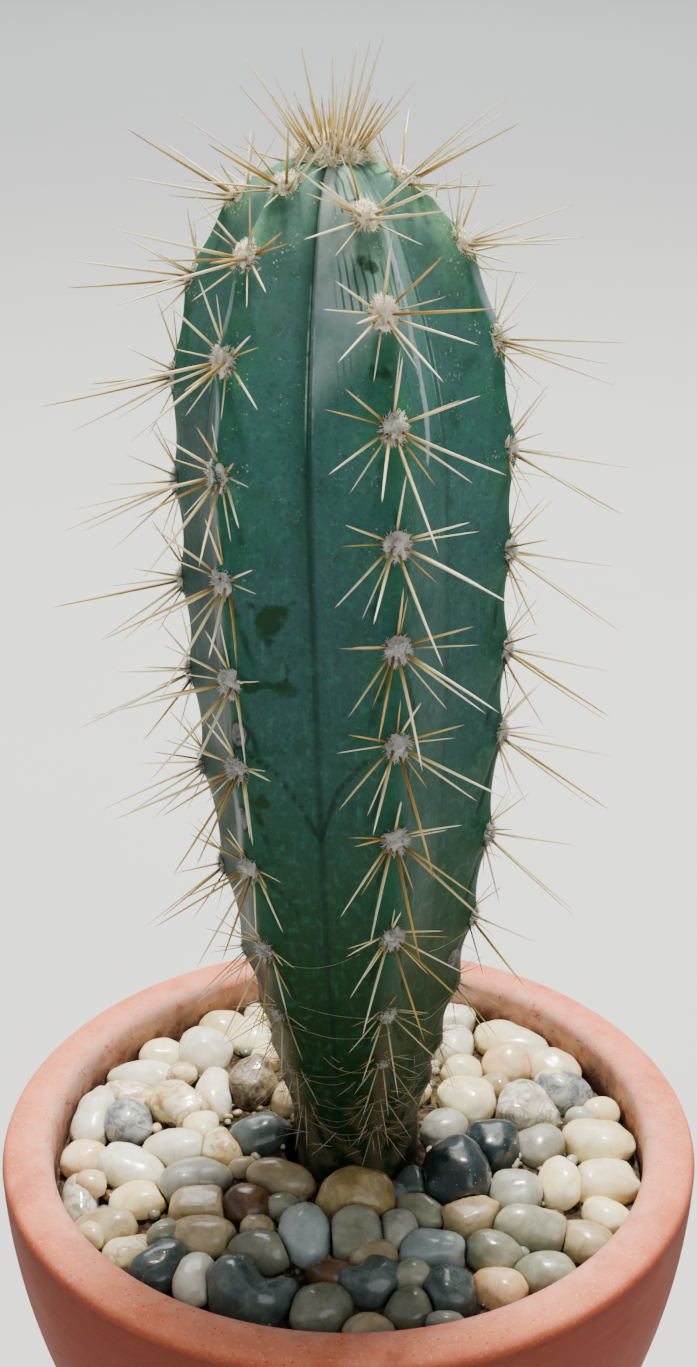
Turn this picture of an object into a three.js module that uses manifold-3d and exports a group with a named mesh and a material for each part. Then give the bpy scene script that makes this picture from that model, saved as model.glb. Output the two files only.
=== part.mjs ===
// A torch cactus with six blue-green ribs and straw-gold spines, standing in a round clay pot.
// Millimetres, +Z up. The origin is the middle of the pot's underside, and the viewer stands on the -Y side.
import * as THREE from "three";
import { mergeVertices } from "three/addons/utils/BufferGeometryUtils.js";
import Module from "manifold-3d";

const wasm = await Module();
wasm.setup();

const GAP = 0.3; // between pieces that touch
const WALL_GAP = 0.45; // between the fill and the pot's wall, both of which are many-sided

// Clay pot
const POT_HEIGHT = 100;
const POT_RADIUS = 75; // at its widest, just under the rim's top
const WIDEST_BELOW_TOP = 3.3;
const RIM_EDGE_BELOW_TOP = 0.6; // the inner edge of the rim, where its flat top turns down
const RIM_Z = POT_HEIGHT - RIM_EDGE_BELOW_TOP;
const WALL_SLOPE = 0.0229; // the outside draws in by this much for each millimetre down,
const WALL_CURVE = 0.0033; // and by this much for each square millimetre
const WALL_THICK = 10;
const FLOOR_THICK = 9;
const DRAIN_RADIUS = 6;
const ROUND_SIDES = 40;

// Fill
const SOIL_TOP = RIM_Z - 27;
const BED_AT_STEM = RIM_Z - 6; // top of the gravel that the stones are half sunk in: it is mounded
const BED_AT_WALL = RIM_Z - 10;
const STONE_CLEAR = 1.3; // from the pot's wall and the stem

// Stem, in heights over the rim
const RIBS = 6;
const FIRST_RIB_DEG = 18; // to the right of the viewer's line
const STEM_TOP = 207.5;
const STEM_WAIST = 150; // the height of the greatest girth
const STEM_RADIUS = 32.3; // of the rib crests there
const FOOT_RADIUS = 13.8; // of the rib crests at the rim's height
const FOOT_RISE = 1.3;
const FOOT_SWELL = 3.2;
const DOME_RISE = 2.3;
const DOME_ROUND = 2.2;
const AXIS_AT_RIM = 1.5; // the stem leans a little to the left as it rises
const LEAN = 0.02;
const CREST_BLUNT = 0.15;
const NOTCH = 0.7; // how far a crest dips between two areoles
const ROOT_END = -46; // the buried foot of the stem
const ROOT_RADIUS = 11.5;
const PLAIN_RINGS = [-9, 2, 206.4]; // rings of the stem's surface other than those at the areoles

// Areole heights over the rim: every other rib has the first list, and the ribs between have the second
const AREOLES_A = [10, 19, 29, 42, 62, 85, 105.5, 125, 145, 166, 185, 200];
const AREOLES_B = [14.5, 24, 39, 55.5, 75, 97.5, 115.5, 135.5, 155.5, 176, 193, 204];
const AREOLE_SIZE = [3, 3.8, 2]; // half width, half height and half depth
const AREOLE_PROUD = 1.1; // over the crest

// Spines
const CENTRALS = 3; // spines that stand out from an areole, towards its lower side
const CENTRAL_STEP = 65; // degrees from one to the next, round the way the areole faces
const RADIALS = 5; // shorter ones that spread out on every side but the lower
const RADIAL_STEP = 60;
const TURN_PLAY = 22; // degrees by which a spine may stand off its regular place
const OPEN_PLAY = 14;
const CENTRAL_OPEN = 33; // degrees from the way the areole faces
const RADIAL_OPEN = 60;
const CENTRAL_LONG = 24.5;
const RADIAL_LONG = 18; // of one that points down, and those that point up are shorter
const RADIAL_SHORT = 12.5;
const LONG_PLAY = 4;
const CENTRAL_ROOT = [0.9, -0.1]; // from the pad's middle, and over the skin
const RADIAL_ROOT = [1.8, -0.6];
const SPINE_RADIUS = 0.38;
const SPINE_SUNK = 0.8;
const SHORTEST = 7;
const LOWEST_TIP = RIM_Z + 3;

// Crown
const WOOL_RADIUS = 7;
const WOOL_HEIGHT = 3.4;
const CROWN_SPINES = 26;
const CROWN_LONG = 17; // every third one
const CROWN_SHORT = 10;
const CROWN_PLAY = 4;

const RAD = Math.PI / 180;

// Colours of the whole pieces
const paint = (color, roughness) => new THREE.MeshStandardMaterial({ color, roughness, metalness: 0 });
const CLAY = paint("#c77a5f", 0.85);
const SOIL = paint("#4a3b2c", 0.95);
const SKIN = paint("#3d6459", 0.55);
const WOOL = paint("#cdb377", 0.8);
const STONE_TONES = {
  cream: paint("#d9cfb4", 0.45),
  black: paint("#2b3136", 0.4),
  slate: paint("#4b5355", 0.4),
  grey: paint("#85867f", 0.45),
  amber: paint("#a27e4d", 0.4),
  tan: paint("#a99772", 0.45),
  brown: paint("#6c5138", 0.5),
  peach: paint("#d3ab80", 0.4),
};

// A repeatable row of draws between 0 and 1
function draws(seed) {
  let state = seed;
  return () => {
    state = (state + 0x6d2b79f5) | 0;
    let t = Math.imul(state ^ (state >>> 15), 1 | state);
    t = (t + Math.imul(t ^ (t >>> 7), 61 | t)) ^ t;
    return ((t ^ (t >>> 14)) >>> 0) / 4294967296;
  };
}

const clamp01 = (t) => Math.min(1, Math.max(0, t));
const ease = (t) => clamp01(t) ** 2 * (3 - 2 * clamp01(t));

// A closed three.js geometry as a solid that can be joined and cut
function solid(geometry) {
  const bare = geometry.index ? geometry.toNonIndexed() : geometry.clone();
  bare.deleteAttribute("normal");
  bare.deleteAttribute("uv");
  const merged = mergeVertices(bare, 1e-4);
  const index = merged.index.array;
  const faces = [];
  for (let i = 0; i < index.length; i += 3) {
    const [a, b, c] = [index[i], index[i + 1], index[i + 2]];
    if (a !== b && b !== c && a !== c) faces.push(a, b, c);
  }
  const build = (triVerts) =>
    new wasm.Manifold(
      new wasm.Mesh({ numProp: 3, vertProperties: merged.attributes.position.array, triVerts }),
    );
  const made = build(new Uint32Array(faces));
  return made.volume() > 0 ? made : build(new Uint32Array(faces.reverse()));
}

// A solid as a named mesh
function piece(name, shape, material) {
  const { vertProperties, triVerts, numProp } = shape.getMesh();
  const places = new Float32Array((vertProperties.length / numProp) * 3);
  for (let i = 0; i < places.length / 3; i++) {
    places.set(vertProperties.subarray(i * numProp, i * numProp + 3), i * 3);
  }
  const geometry = new THREE.BufferGeometry();
  geometry.setAttribute("position", new THREE.BufferAttribute(places, 3));
  geometry.setIndex(new THREE.BufferAttribute(triVerts, 1));
  geometry.computeVertexNormals();
  const mesh = new THREE.Mesh(geometry, material);
  mesh.name = name;
  return mesh;
}

// A turned shape, from its profile of [radius, height] points
function turned(points, sides = ROUND_SIDES) {
  const profile = points.map(([r, z]) => new THREE.Vector2(r, z));
  return new THREE.LatheGeometry(profile, sides).rotateX(Math.PI / 2);
}

// The largest body of a solid, without loose scraps, and with sealed hollows filled
function whole(shape) {
  return shape.decompose().reduce((a, b) => (b.volume() > a.volume() ? b : a));
}

// Clay pot: a round bowl-sided pot with a plain rounded rim and one drainage hole

function outerRadius(z) {
  const down = Math.max(0, POT_HEIGHT - WIDEST_BELOW_TOP - z);
  return POT_RADIUS - WALL_SLOPE * down - WALL_CURVE * down * down;
}

const innerRadius = (z) => outerRadius(z) - WALL_THICK;

const INNER_HEIGHTS = [FLOOR_THICK + 5, 32, 52, 72, 88];

function potProfile() {
  const outside = [1.5, 20, 38, 56, 72, 86, POT_HEIGHT - WIDEST_BELOW_TOP];
  const rim = [
    [POT_RADIUS - 0.5, -1.6],
    [POT_RADIUS - 2, -0.4],
    [POT_RADIUS - 4.4, 0],
    [POT_RADIUS - 9.4, -RIM_EDGE_BELOW_TOP],
    [POT_RADIUS - 10.5, -2],
    [POT_RADIUS - 10.9, -4.5],
  ];
  const foot = outerRadius(0) - 1.5;
  const inside = INNER_HEIGHTS.map((z) => [innerRadius(z), z]).reverse();
  return [
    [DRAIN_RADIUS, 0],
    [foot, 0],
    ...outside.map((z) => [outerRadius(z), z]),
    ...rim.map(([r, z]) => [r, POT_HEIGHT + z]),
    ...inside,
    [innerRadius(FLOOR_THICK) - 5, FLOOR_THICK],
    [DRAIN_RADIUS, FLOOR_THICK],
    [DRAIN_RADIUS, 0],
  ];
}

// Radius of the pot's inside at a height, along the straight lines between its profile points
function insideRadius(z) {
  const points = [[innerRadius(FLOOR_THICK) - 5, FLOOR_THICK]];
  points.push(...INNER_HEIGHTS.map((h) => [innerRadius(h), h]));
  points.push([POT_RADIUS - 10.9, POT_HEIGHT - 4.5]);
  for (let i = 1; i < points.length; i++) {
    const [r0, z0] = points[i - 1];
    const [r1, z1] = points[i];
    if (z <= z1) return r0 + ((r1 - r0) * (z - z0)) / (z1 - z0);
  }
  return points.at(-1)[0];
}

// Stem

const axisX = (h) => AXIS_AT_RIM - LEAN * Math.max(0, h);

function crestRadius(h) {
  if (h > STEM_WAIST) {
    const t = Math.min(1, (h - STEM_WAIST) / (STEM_TOP - STEM_WAIST));
    return STEM_RADIUS * (1 - t ** DOME_RISE) ** (1 / DOME_ROUND);
  }
  const t = clamp01(h / STEM_WAIST);
  return STEM_RADIUS - (STEM_RADIUS - FOOT_RADIUS) * (1 - t ** FOOT_RISE) ** FOOT_SWELL;
}

// Groove radius as a share of the crest radius: nearly round at the foot, deep at the top
const grooveShare = (h) => 0.93 - 0.13 * ease(h / 95) - 0.13 * ease((h - 150) / 50);

const areolesOf = (rib) => (rib % 2 ? AREOLES_B : AREOLES_A);

// How far a rib's crest dips at a height: nothing at its areoles, most halfway between two
function crestDip(rib, h) {
  const heights = [0, ...areolesOf(rib), STEM_TOP];
  for (let i = 1; i < heights.length; i++) {
    const share = (h - heights[i - 1]) / (heights[i] - heights[i - 1]);
    if (share >= 0 && share <= 1) return NOTCH * Math.sin(Math.PI * share) ** 2;
  }
  return 0;
}

// Radius of the skin at a height and an angle to the right of the viewer's line, in degrees.
// Each rib has a blunt crest and two flat faces that run straight down to sharp grooves.
function skinRadius(h, deg) {
  const step = 360 / RIBS;
  const turns = (deg - FIRST_RIB_DEG) / step;
  const rib = ((Math.round(turns) % RIBS) + RIBS) % RIBS;
  const across = Math.abs(turns - Math.round(turns)) * 2; // 0 on the crest, 1 in the groove
  const blunt = Math.sqrt(across * across + CREST_BLUNT * CREST_BLUNT) - CREST_BLUNT;
  const full = Math.sqrt(1 + CREST_BLUNT * CREST_BLUNT) - CREST_BLUNT;
  const crest = crestRadius(h);
  const groove = crest * grooveShare(h);
  const half = (step / 2) * RAD;
  const turn = (half * blunt) / full;
  const flat = (crest * groove * Math.sin(half)) / (crest * Math.sin(turn) + groove * Math.sin(half - turn) || 1);
  return flat - crestDip(rib, h) * (1 - across) * ease(crest / 12);
}

function stemBody() {
  const levels = [...AREOLES_A, ...AREOLES_B, ...PLAIN_RINGS].sort((a, b) => a - b);
  const profile = [
    [0, ROOT_END],
    [ROOT_RADIUS * 0.7, ROOT_END],
    [ROOT_RADIUS, ROOT_END + 8],
    [ROOT_RADIUS, -24],
    ...levels.map((h) => [1, h]),
    [0, STEM_TOP],
  ];
  const sides = RIBS * 6;
  const geometry = turned(profile, sides);
  const place = geometry.attributes.position;
  for (let i = 0; i < place.count; i++) {
    const h = place.getZ(i);
    const angle = Math.atan2(place.getX(i), -place.getY(i)) / RAD + FIRST_RIB_DEG;
    const plain = Math.hypot(place.getX(i), place.getY(i));
    const r = h > -20 && plain > 0.5 ? skinRadius(h, angle) : plain;
    place.setXYZ(i, axisX(h) + r * Math.sin(angle * RAD), -r * Math.cos(angle * RAD), RIM_Z + h);
  }
  return solid(geometry);
}

// Where an areole sits and which way it faces
function areoleSeat(rib, h) {
  const deg = FIRST_RIB_DEG + (rib * 360) / RIBS;
  const out = new THREE.Vector3(Math.sin(deg * RAD), -Math.cos(deg * RAD), 0);
  const r = skinRadius(h, deg);
  const rise = (skinRadius(h + 2, deg) - skinRadius(h - 2, deg)) / 4;
  const face = out.clone().sub(new THREE.Vector3(0, 0, Math.max(-2, rise))).normalize();
  const side = new THREE.Vector3(0, 0, 1).cross(out);
  const up = face.clone().cross(side).normalize();
  const at = out.clone().multiplyScalar(r).add(new THREE.Vector3(axisX(h), 0, RIM_Z + h));
  return { at, face, side, up };
}

function areolePad(seat) {
  const pad = new THREE.OctahedronGeometry(1, 0).scale(...AREOLE_SIZE);
  pad.applyMatrix4(new THREE.Matrix4().makeBasis(seat.side, seat.up, seat.face));
  pad.translate(...seat.at.clone().addScaledVector(seat.face, AREOLE_PROUD - AREOLE_SIZE[2]));
  return solid(pad);
}

// A three-sided needle from a root point along a direction
function needle(root, direction, length, radius) {
  const cone = new THREE.ConeGeometry(radius, length, 3).translate(0, length / 2, 0);
  const turn = new THREE.Quaternion().setFromUnitVectors(new THREE.Vector3(0, 1, 0), direction);
  cone.applyQuaternion(turn).translate(...root);
  return solid(cone);
}

// A fan of spines: the first few stand out from the pad and are the longest, the rest spread round it.
// Fans hang lower and are shorter and thinner towards the foot of the stem.
function spinesOf(seat, h, random) {
  const droop = 22 * ease((90 - h) / 80) * RAD;
  const size = 0.35 + 0.65 * ease(h / 95) - 0.1 * ease((h - 170) / 40);
  const spines = [];
  for (let i = 0; i < CENTRALS + RADIALS; i++) {
    const central = i < CENTRALS;
    const middle = (CENTRALS - 1) / 2;
    const round = central ? (i - middle) * CENTRAL_STEP : (i - CENTRALS + 1) * RADIAL_STEP;
    const turn = (round + TURN_PLAY * (random() - 0.5)) * RAD;
    const open = (central ? CENTRAL_OPEN : RADIAL_OPEN) + OPEN_PLAY * (random() - 0.5);
    const low = (1 + Math.cos(turn)) / 2;
    const full = central ? CENTRAL_LONG : RADIAL_SHORT + (RADIAL_LONG - RADIAL_SHORT) * low;
    const length = (full + LONG_PLAY * (random() - 0.5)) * size;
    const [aside, over] = central ? CENTRAL_ROOT : RADIAL_ROOT;
    const flat = seat.side.clone().multiplyScalar(Math.sin(turn)).addScaledVector(seat.up, -Math.cos(turn));
    const direction = seat.face
      .clone()
      .multiplyScalar(Math.cos(open * RAD))
      .addScaledVector(flat, Math.sin(open * RAD))
      .applyAxisAngle(seat.side, droop)
      .normalize();
    const root = seat.at
      .clone()
      .addScaledVector(seat.face, over)
      .addScaledVector(flat, aside)
      .addScaledVector(direction, -SPINE_SUNK);
    if (direction.dot(seat.face) < 0.12) continue; // it would lie in the skin
    const drop = root.z + direction.z * length - LOWEST_TIP;
    const cut = drop < 0 ? (root.z - LOWEST_TIP) / -direction.z : length; // clear of the stones
    const radius = SPINE_RADIUS * (0.6 + 0.4 * ease(h / 90));
    if (cut > SHORTEST) spines.push(needle(root, direction, Math.min(cut, length) + SPINE_SUNK, radius));
  }
  return spines;
}

function cactus() {
  const random = draws(11);
  const parts = [stemBody()];
  for (let rib = 0; rib < RIBS; rib++) {
    for (const h of areolesOf(rib)) {
      const seat = areoleSeat(rib, h);
      parts.push(areolePad(seat), ...spinesOf(seat, h, random));
    }
  }
  return whole(wasm.Manifold.union(parts));
}

// Crown: a low cap of wool at the growing point, with a tuft of young spines standing in it
function crown(stem) {
  const random = draws(23);
  const top = RIM_Z + STEM_TOP;
  const centre = new THREE.Vector3(axisX(STEM_TOP), 0, top);
  const cap = new THREE.SphereGeometry(1, 14, 6).rotateX(Math.PI / 2);
  cap.scale(WOOL_RADIUS, WOOL_RADIUS, WOOL_HEIGHT).translate(...centre);
  const tuft = [solid(cap)];
  for (let i = 0; i < CROWN_SPINES; i++) {
    const turn = i * 137.5 * RAD;
    const share = Math.sqrt((i + 0.5) / CROWN_SPINES);
    const lean = (3 + 30 * share + 10 * random()) * RAD;
    const long = (i % 3 === 0 ? CROWN_LONG : CROWN_SHORT) + CROWN_PLAY * random();
    const out = new THREE.Vector3(Math.sin(turn), -Math.cos(turn), 0);
    const root = centre.clone().addScaledVector(out, 5 * share);
    const direction = out.clone().multiplyScalar(Math.sin(lean)).setZ(Math.cos(lean));
    tuft.push(needle(root, direction, long, SPINE_RADIUS));
  }
  const seat = stem.add(stem.translate(0, 0, GAP));
  return whole(wasm.Manifold.union(tuft).subtract(seat));
}

// Stones. The pale ones are one bed with the gravel under them, and those whose colour stands out are pieces
// of their own, seated in it. Each row: name, place x and y, length, width, thickness and turn in degrees.
const PALE_STONES = [
  ["cream_back", -34, 57, 13, 11, 8, 0],
  ["cream_stem_side", -24, 60, 11, 8, 7, 90],
  ["white_behind", -25, 46, 13, 11, 9, 90],
  ["white_large", -37, 38, 16, 14, 12, 90],
  ["cream_round", -49, 44, 12, 11, 9, 0],
  ["white_long", -48, 29, 17, 9, 8, -9],
  ["white_lower", -31, 19, 18, 9, 9, 90],
  ["cream_patchy", -46, 18, 15, 9, 7, -9],
  ["white_upright", -64, 14, 19, 10, 10, 85],
  ["cream_wedge", -39, 17, 18, 10, 9, 154],
  ["cream_pair_left", -32, 3, 11, 8, 7, 90],
  ["cream_pair_right", -30, 1, 13, 9, 8, 90],
  ["white_middle", -41, -2, 16, 11, 9, -20],
  ["white_grey", -47, -3, 16, 11, 9, -24],
  ["grey_long", -34, -12, 17, 11, 9, 31],
  ["cream_left", -46, -20, 13, 10, 8, 0],
  ["cream_tan", -48, -22, 14, 10, 8, 0],
  ["crystal_white", -61, -17, 15, 8, 8, 95],
  ["cream_front_left", -45, -33, 13, 10, 8, 30],
  ["tan_square", -28, -24, 12, 10, 8, 0],
  ["tan_olive", -30, -29, 15, 11, 9, 0],
  ["white_tall", -31, -40, 15, 9, 9, 90],
  ["olive_behind", -17, -37, 15, 10, 9, -30],
  ["white_blue", -10, -32, 17, 12, 11, 95],
  ["olive_round", 3, -29, 15, 12, 11, 85],
  ["grey_olive", -9, -47, 13, 12, 10, 0],
  ["olive_front", 12, -50, 11, 10, 9, 90],
  ["tan_thin", 14, -23, 13, 8, 6, -43],
  ["grey_small", 10, -30, 11, 9, 8, 90],
  ["white_blue_right", 17, -33, 14, 9, 9, 0],
  ["grey_oval", 29, -34, 13, 10, 9, 0],
  ["tan_block", 25, -23, 12, 10, 9, 40],
  ["grey_near_stem", 21, 4, 11, 11, 9, 0],
  ["cream_top", 26, 31, 10, 9, 8, 0],
  ["cream_large_back", 27, 16, 15, 14, 11, 90],
  ["white_right_back", 25, 40, 16, 11, 10, 90],
  ["white_right_top", 29, 59, 14, 13, 10, 90],
  ["cream_wide", 45, 48, 20, 12, 9, -26],
  ["cream_yellow", 50, 34, 15, 12, 9, -39],
  ["quartz", 42, 15, 14, 13, 11, 32],
  ["cream_far_right", 57, 18, 9, 8, 8, 0],
  ["cream_big", 62, 4, 18, 14, 11, -24],
  ["grey_strip", 40, 1, 12, 10, 8, 31],
  ["cream_long", 61, -12, 17, 11, 9, 16],
  ["cream_upright", 43, -13, 14, 10, 10, 90],
  ["grey_cream", 38, -15, 13, 12, 10, 90],
  ["olive_large", 44, -30, 18, 11, 10, 0],
  ["olive_low", 40, -40, 13, 10, 9, 0],
  ["cream_right_low", 53, -34, 14, 10, 9, 138],
  ["cream_right_edge", 61, -24, 11, 8, 8, 133],
  ["white_behind_stem", 6, 34, 15, 12, 10, 15],
  ["cream_behind_stem", -9, 42, 14, 11, 9, 60],
  ["cream_back_wall", -7, 58, 15, 11, 9, 5],
  ["white_back_wall", 11, 56, 14, 12, 10, 160],
  ["tan_behind_stem", 13, 45, 12, 10, 9, 100],
  ["grey_behind_stem", -7, 26, 13, 10, 9, 20],
  ["slate_shaded", 9, -8, 10, 9, 7, 90],
  ["slate_behind", -13, 1, 15, 11, 9, 20],
  ["slate_right", 22, -46, 12, 11, 10, 90],
  ["tan_long", -8, -9, 16, 10, 9, -13],
  ["peach_front", 28, -45, 12, 10, 9, -20],
  ["orange_left", -59, -4, 12, 10, 9, 0],
  ["grey_right", 50, 18, 15, 12, 11, -30],
  ["cream_behind_right", 12, 21, 15, 13, 10, 30],
  ["white_behind_middle", 2, 48, 12, 11, 9, 0],
  ["tan_behind_left", -12, 17, 12, 10, 8, 60],
  ["cream_behind_left", -18, 35, 10, 9, 8, 0],
  ["tan_front", 4, -57, 11, 8, 8, 0],
];
const BRIGHT_STONES = [
  ["stone_blue_black", 21, -15, 18, 15, 16, 80, "black"],
  ["stone_near_black", 34, 0, 14, 12, 11, 90, "black"],
  ["stone_slate_left", -33, -39, 14, 11, 10, 50, "slate"],
  ["stone_slate_big", -18, -42, 20, 15, 13, -25, "slate"],
  ["stone_slate_front", 2, -45, 14, 12, 10, 10, "slate"],
  ["stone_mottled", -51, 11, 13, 12, 10, 90, "grey"],
  ["stone_amber", 2, -10, 17, 13, 14, 5, "amber"],
  ["stone_brown", -24, -21, 11, 10, 9, -30, "brown"],
  ["stone_rough_brown", -24, 22, 17, 12, 12, 80, "brown"],
  ["stone_peach", 37, 31, 13, 12, 11, 90, "peach"],
];

const SETTLE_ROUNDS = 60;
const FALL = 0.5;
const LIFT = 0.35; // stones that meet slip sideways more than they ride up
const HOLD = 0.3; // how strongly a stone keeps its place while its neighbours push
const FULL = 1.04; // the rows give what shows of a stone, and the stone is a little larger
const CLOSE = 0.9; // share of its size that a stone keeps free of others, so that they lie tight
const UNEVEN = 0.035;
const SINK = 0.3; // share of its half thickness by which the lowest stone's middle stands over the gravel

// Top of the gravel at a distance from the stem
const bedTop = (r) => BED_AT_STEM + (BED_AT_WALL - BED_AT_STEM) * clamp01((r - FOOT_RADIUS) / (60 - FOOT_RADIUS));

// Distance from a stone's middle to its surface along a direction
function reach(stone, dx, dy, dz) {
  const along = (dx * stone.cos + dy * stone.sin) / stone.half[0];
  const across = (dy * stone.cos - dx * stone.sin) / stone.half[1];
  const high = dz / stone.half[2];
  return CLOSE / Math.sqrt(along * along + across * across + high * high);
}

// Lets the stones push each other apart and settle on the gravel, inside the pot and clear of the stem
function settle(stones) {
  for (let round = 0; round < SETTLE_ROUNDS; round++) {
    for (const s of stones) {
      s.z -= FALL;
      s.x += HOLD * (s.home[0] - s.x);
      s.y += HOLD * (s.home[1] - s.y);
    }
    for (let i = 0; i < stones.length; i++) {
      for (let j = i + 1; j < stones.length; j++) {
        const [a, b] = [stones[i], stones[j]];
        const [dx, dy, dz] = [b.x - a.x, b.y - a.y, b.z - a.z];
        const far = Math.sqrt(dx * dx + dy * dy + dz * dz);
        if (far > a.half[0] + b.half[0]) continue;
        const [nx, ny, nz] = [dx / far, dy / far, dz / far];
        const push = (reach(a, nx, ny, nz) + reach(b, nx, ny, nz) - far) / 2;
        if (push <= 0) continue;
        a.x -= nx * push;
        a.y -= ny * push;
        a.z -= nz * push * LIFT;
        b.x += nx * push;
        b.y += ny * push;
        b.z += nz * push * LIFT;
      }
    }
    for (const s of stones) {
      const far = Math.hypot(s.x, s.y);
      const most = insideRadius(s.z) - STONE_CLEAR - reach(s, s.x / far, s.y / far, 0);
      if (far > most) {
        s.x *= most / far;
        s.y *= most / far;
      }
      const [sx, sy] = [s.x - AXIS_AT_RIM, s.y];
      const near = Math.hypot(sx, sy);
      const least = FOOT_RADIUS + STONE_CLEAR + reach(s, sx / near, sy / near, 0);
      if (near < least) {
        s.x = AXIS_AT_RIM + (sx * least) / near;
        s.y = (sy * least) / near;
      }
      s.z = Math.max(s.z, bedTop(Math.hypot(s.x, s.y)) + SINK * s.half[2]);
    }
  }
}

function stonesSettled() {
  const random = draws(7);
  const stones = [...BRIGHT_STONES, ...PALE_STONES].map(([name, x, y, long, wide, thick, turn, tone]) => ({
    name,
    tone,
    home: [x, y],
    x,
    y,
    z: bedTop(Math.hypot(x, y)) + thick / 4,
    half: [long, wide, thick].map((size) => (size * FULL) / 2),
    cos: Math.cos(turn * RAD),
    sin: Math.sin(turn * RAD),
    waves: [0, 1, 2].map(() => [random() * 4 - 2, random() * 4 - 2, random() * 4 - 2, random() * 6.3]),
  }));
  settle(stones);
  return stones;
}

// A rounded river stone: an egg of three unequal widths, made uneven by three slow waves
function stoneShape(stone, grow) {
  const egg = new THREE.OctahedronGeometry(1, 1);
  const place = egg.attributes.position;
  for (let i = 0; i < place.count; i++) {
    const [x, y, z] = [place.getX(i), place.getY(i), place.getZ(i)];
    let swell = 1;
    for (const [wx, wy, wz, phase] of stone.waves) {
      swell += UNEVEN * (Math.sin(wx * x + wy * y + wz * z + phase) - 0.7);
    }
    const [a, b, c] = stone.half.map((half) => half * swell + grow);
    const [px, py] = [a * x, b * y];
    place.setXYZ(
      i,
      stone.x + px * stone.cos - py * stone.sin,
      stone.y + px * stone.sin + py * stone.cos,
      stone.z + c * z,
    );
  }
  return solid(egg);
}

// The room inside the pot between two heights, as a solid
function potRoom(from, to) {
  const levels = [from, ...INNER_HEIGHTS.filter((z) => z > from && z < to), to];
  const walls = levels.map((z) => [insideRadius(z) - WALL_GAP, z]);
  return solid(turned([[0, from], ...walls, [0, to]]));
}

// Everything that the stem's foot takes out of the fill around it
function stemHole() {
  const r = FOOT_RADIUS + GAP;
  const profile = [
    [0, RIM_Z + ROOT_END - GAP],
    [ROOT_RADIUS + GAP, RIM_Z + ROOT_END - GAP],
    [ROOT_RADIUS + GAP, RIM_Z - 24],
    [r, RIM_Z - 20],
    [r, RIM_Z],
    [r + 3, RIM_Z + 14],
    [0, RIM_Z + 14],
  ];
  return solid(turned(profile, RIBS * 6).translate(AXIS_AT_RIM, 0, 0));
}

function soil() {
  const low = FLOOR_THICK + GAP;
  const walls = INNER_HEIGHTS.filter((z) => z < SOIL_TOP).map((z) => [insideRadius(z) - WALL_GAP, z]);
  const profile = [
    [0, low],
    [innerRadius(FLOOR_THICK) - 5.6, low],
    ...walls,
    [insideRadius(SOIL_TOP) - WALL_GAP, SOIL_TOP],
    [0, SOIL_TOP],
  ];
  return solid(turned(profile)).subtract(stemHole());
}

// The gravel's raised middle
function mound() {
  const low = BED_AT_WALL - 2;
  const rim = 60;
  return solid(turned([[0, low], [rim, low], [rim, BED_AT_WALL], [FOOT_RADIUS, BED_AT_STEM], [0, BED_AT_STEM]], 12));
}

function gravel() {
  const core = potRoom(SOIL_TOP + GAP, BED_AT_WALL).add(mound());
  const stones = stonesSettled();
  const pale = stones.filter((s) => !s.tone);
  const bright = stones.filter((s) => s.tone);
  const sockets = wasm.Manifold.union(bright.map((s) => stoneShape(s, GAP)));
  const bed = wasm.Manifold.union([core, ...pale.map((s) => stoneShape(s, 0))]);
  const pieces = [piece("pebble_bed", whole(bed.subtract(stemHole()).subtract(sockets)), STONE_TONES.cream)];
  bright.forEach((s, i) => {
    let shape = stoneShape(s, 0);
    for (const other of bright.slice(0, i)) shape = shape.subtract(stoneShape(other, GAP));
    pieces.push(piece(s.name, whole(shape), STONE_TONES[s.tone]));
  });
  return pieces;
}

// The whole pot plant
const plant = new THREE.Group();
const stem = cactus();
plant.add(piece("pot", solid(turned(potProfile())), CLAY));
plant.add(piece("soil", whole(soil()), SOIL));
plant.add(...gravel());
plant.add(piece("cactus_stem", stem, SKIN));
plant.add(piece("crown_tuft", crown(stem), WOOL));

export default plant;
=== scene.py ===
# A torch cactus with blue-green ribs and straw-gold spines, standing in a round clay pot of river pebbles.
# The scene is in metres, +Z up, with the viewer on the -Y side. Named sizes are in millimetres, as they are
# read off the plant, and MM turns them into metres where a mesh is made.
import math

import bpy
import numpy as np
from mathutils import Matrix, Quaternion, Vector, noise


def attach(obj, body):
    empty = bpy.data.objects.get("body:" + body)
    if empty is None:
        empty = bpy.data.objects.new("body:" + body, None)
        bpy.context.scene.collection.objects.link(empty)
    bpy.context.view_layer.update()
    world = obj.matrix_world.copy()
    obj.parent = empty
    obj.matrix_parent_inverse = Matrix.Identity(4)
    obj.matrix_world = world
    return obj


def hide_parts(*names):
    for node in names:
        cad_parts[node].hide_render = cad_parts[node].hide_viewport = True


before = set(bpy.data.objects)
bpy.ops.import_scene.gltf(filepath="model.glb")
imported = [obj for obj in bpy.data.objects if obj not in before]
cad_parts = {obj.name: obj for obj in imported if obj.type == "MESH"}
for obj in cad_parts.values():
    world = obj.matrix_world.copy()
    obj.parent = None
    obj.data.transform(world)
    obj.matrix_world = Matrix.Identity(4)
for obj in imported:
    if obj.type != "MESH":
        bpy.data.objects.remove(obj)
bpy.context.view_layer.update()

MM = 0.001
RAD = math.pi / 180

# Clay pot
POT_HEIGHT = 100
POT_RADIUS = 75
WIDEST_BELOW_TOP = 3.3
RIM_EDGE_BELOW_TOP = 0.6
RIM_Z = POT_HEIGHT - RIM_EDGE_BELOW_TOP
WALL_SLOPE = 0.0229
WALL_CURVE = 0.0033
WALL_THICK = 10
FLOOR_THICK = 9
DRAIN_RADIUS = 6
POT_SIDES = 192

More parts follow.
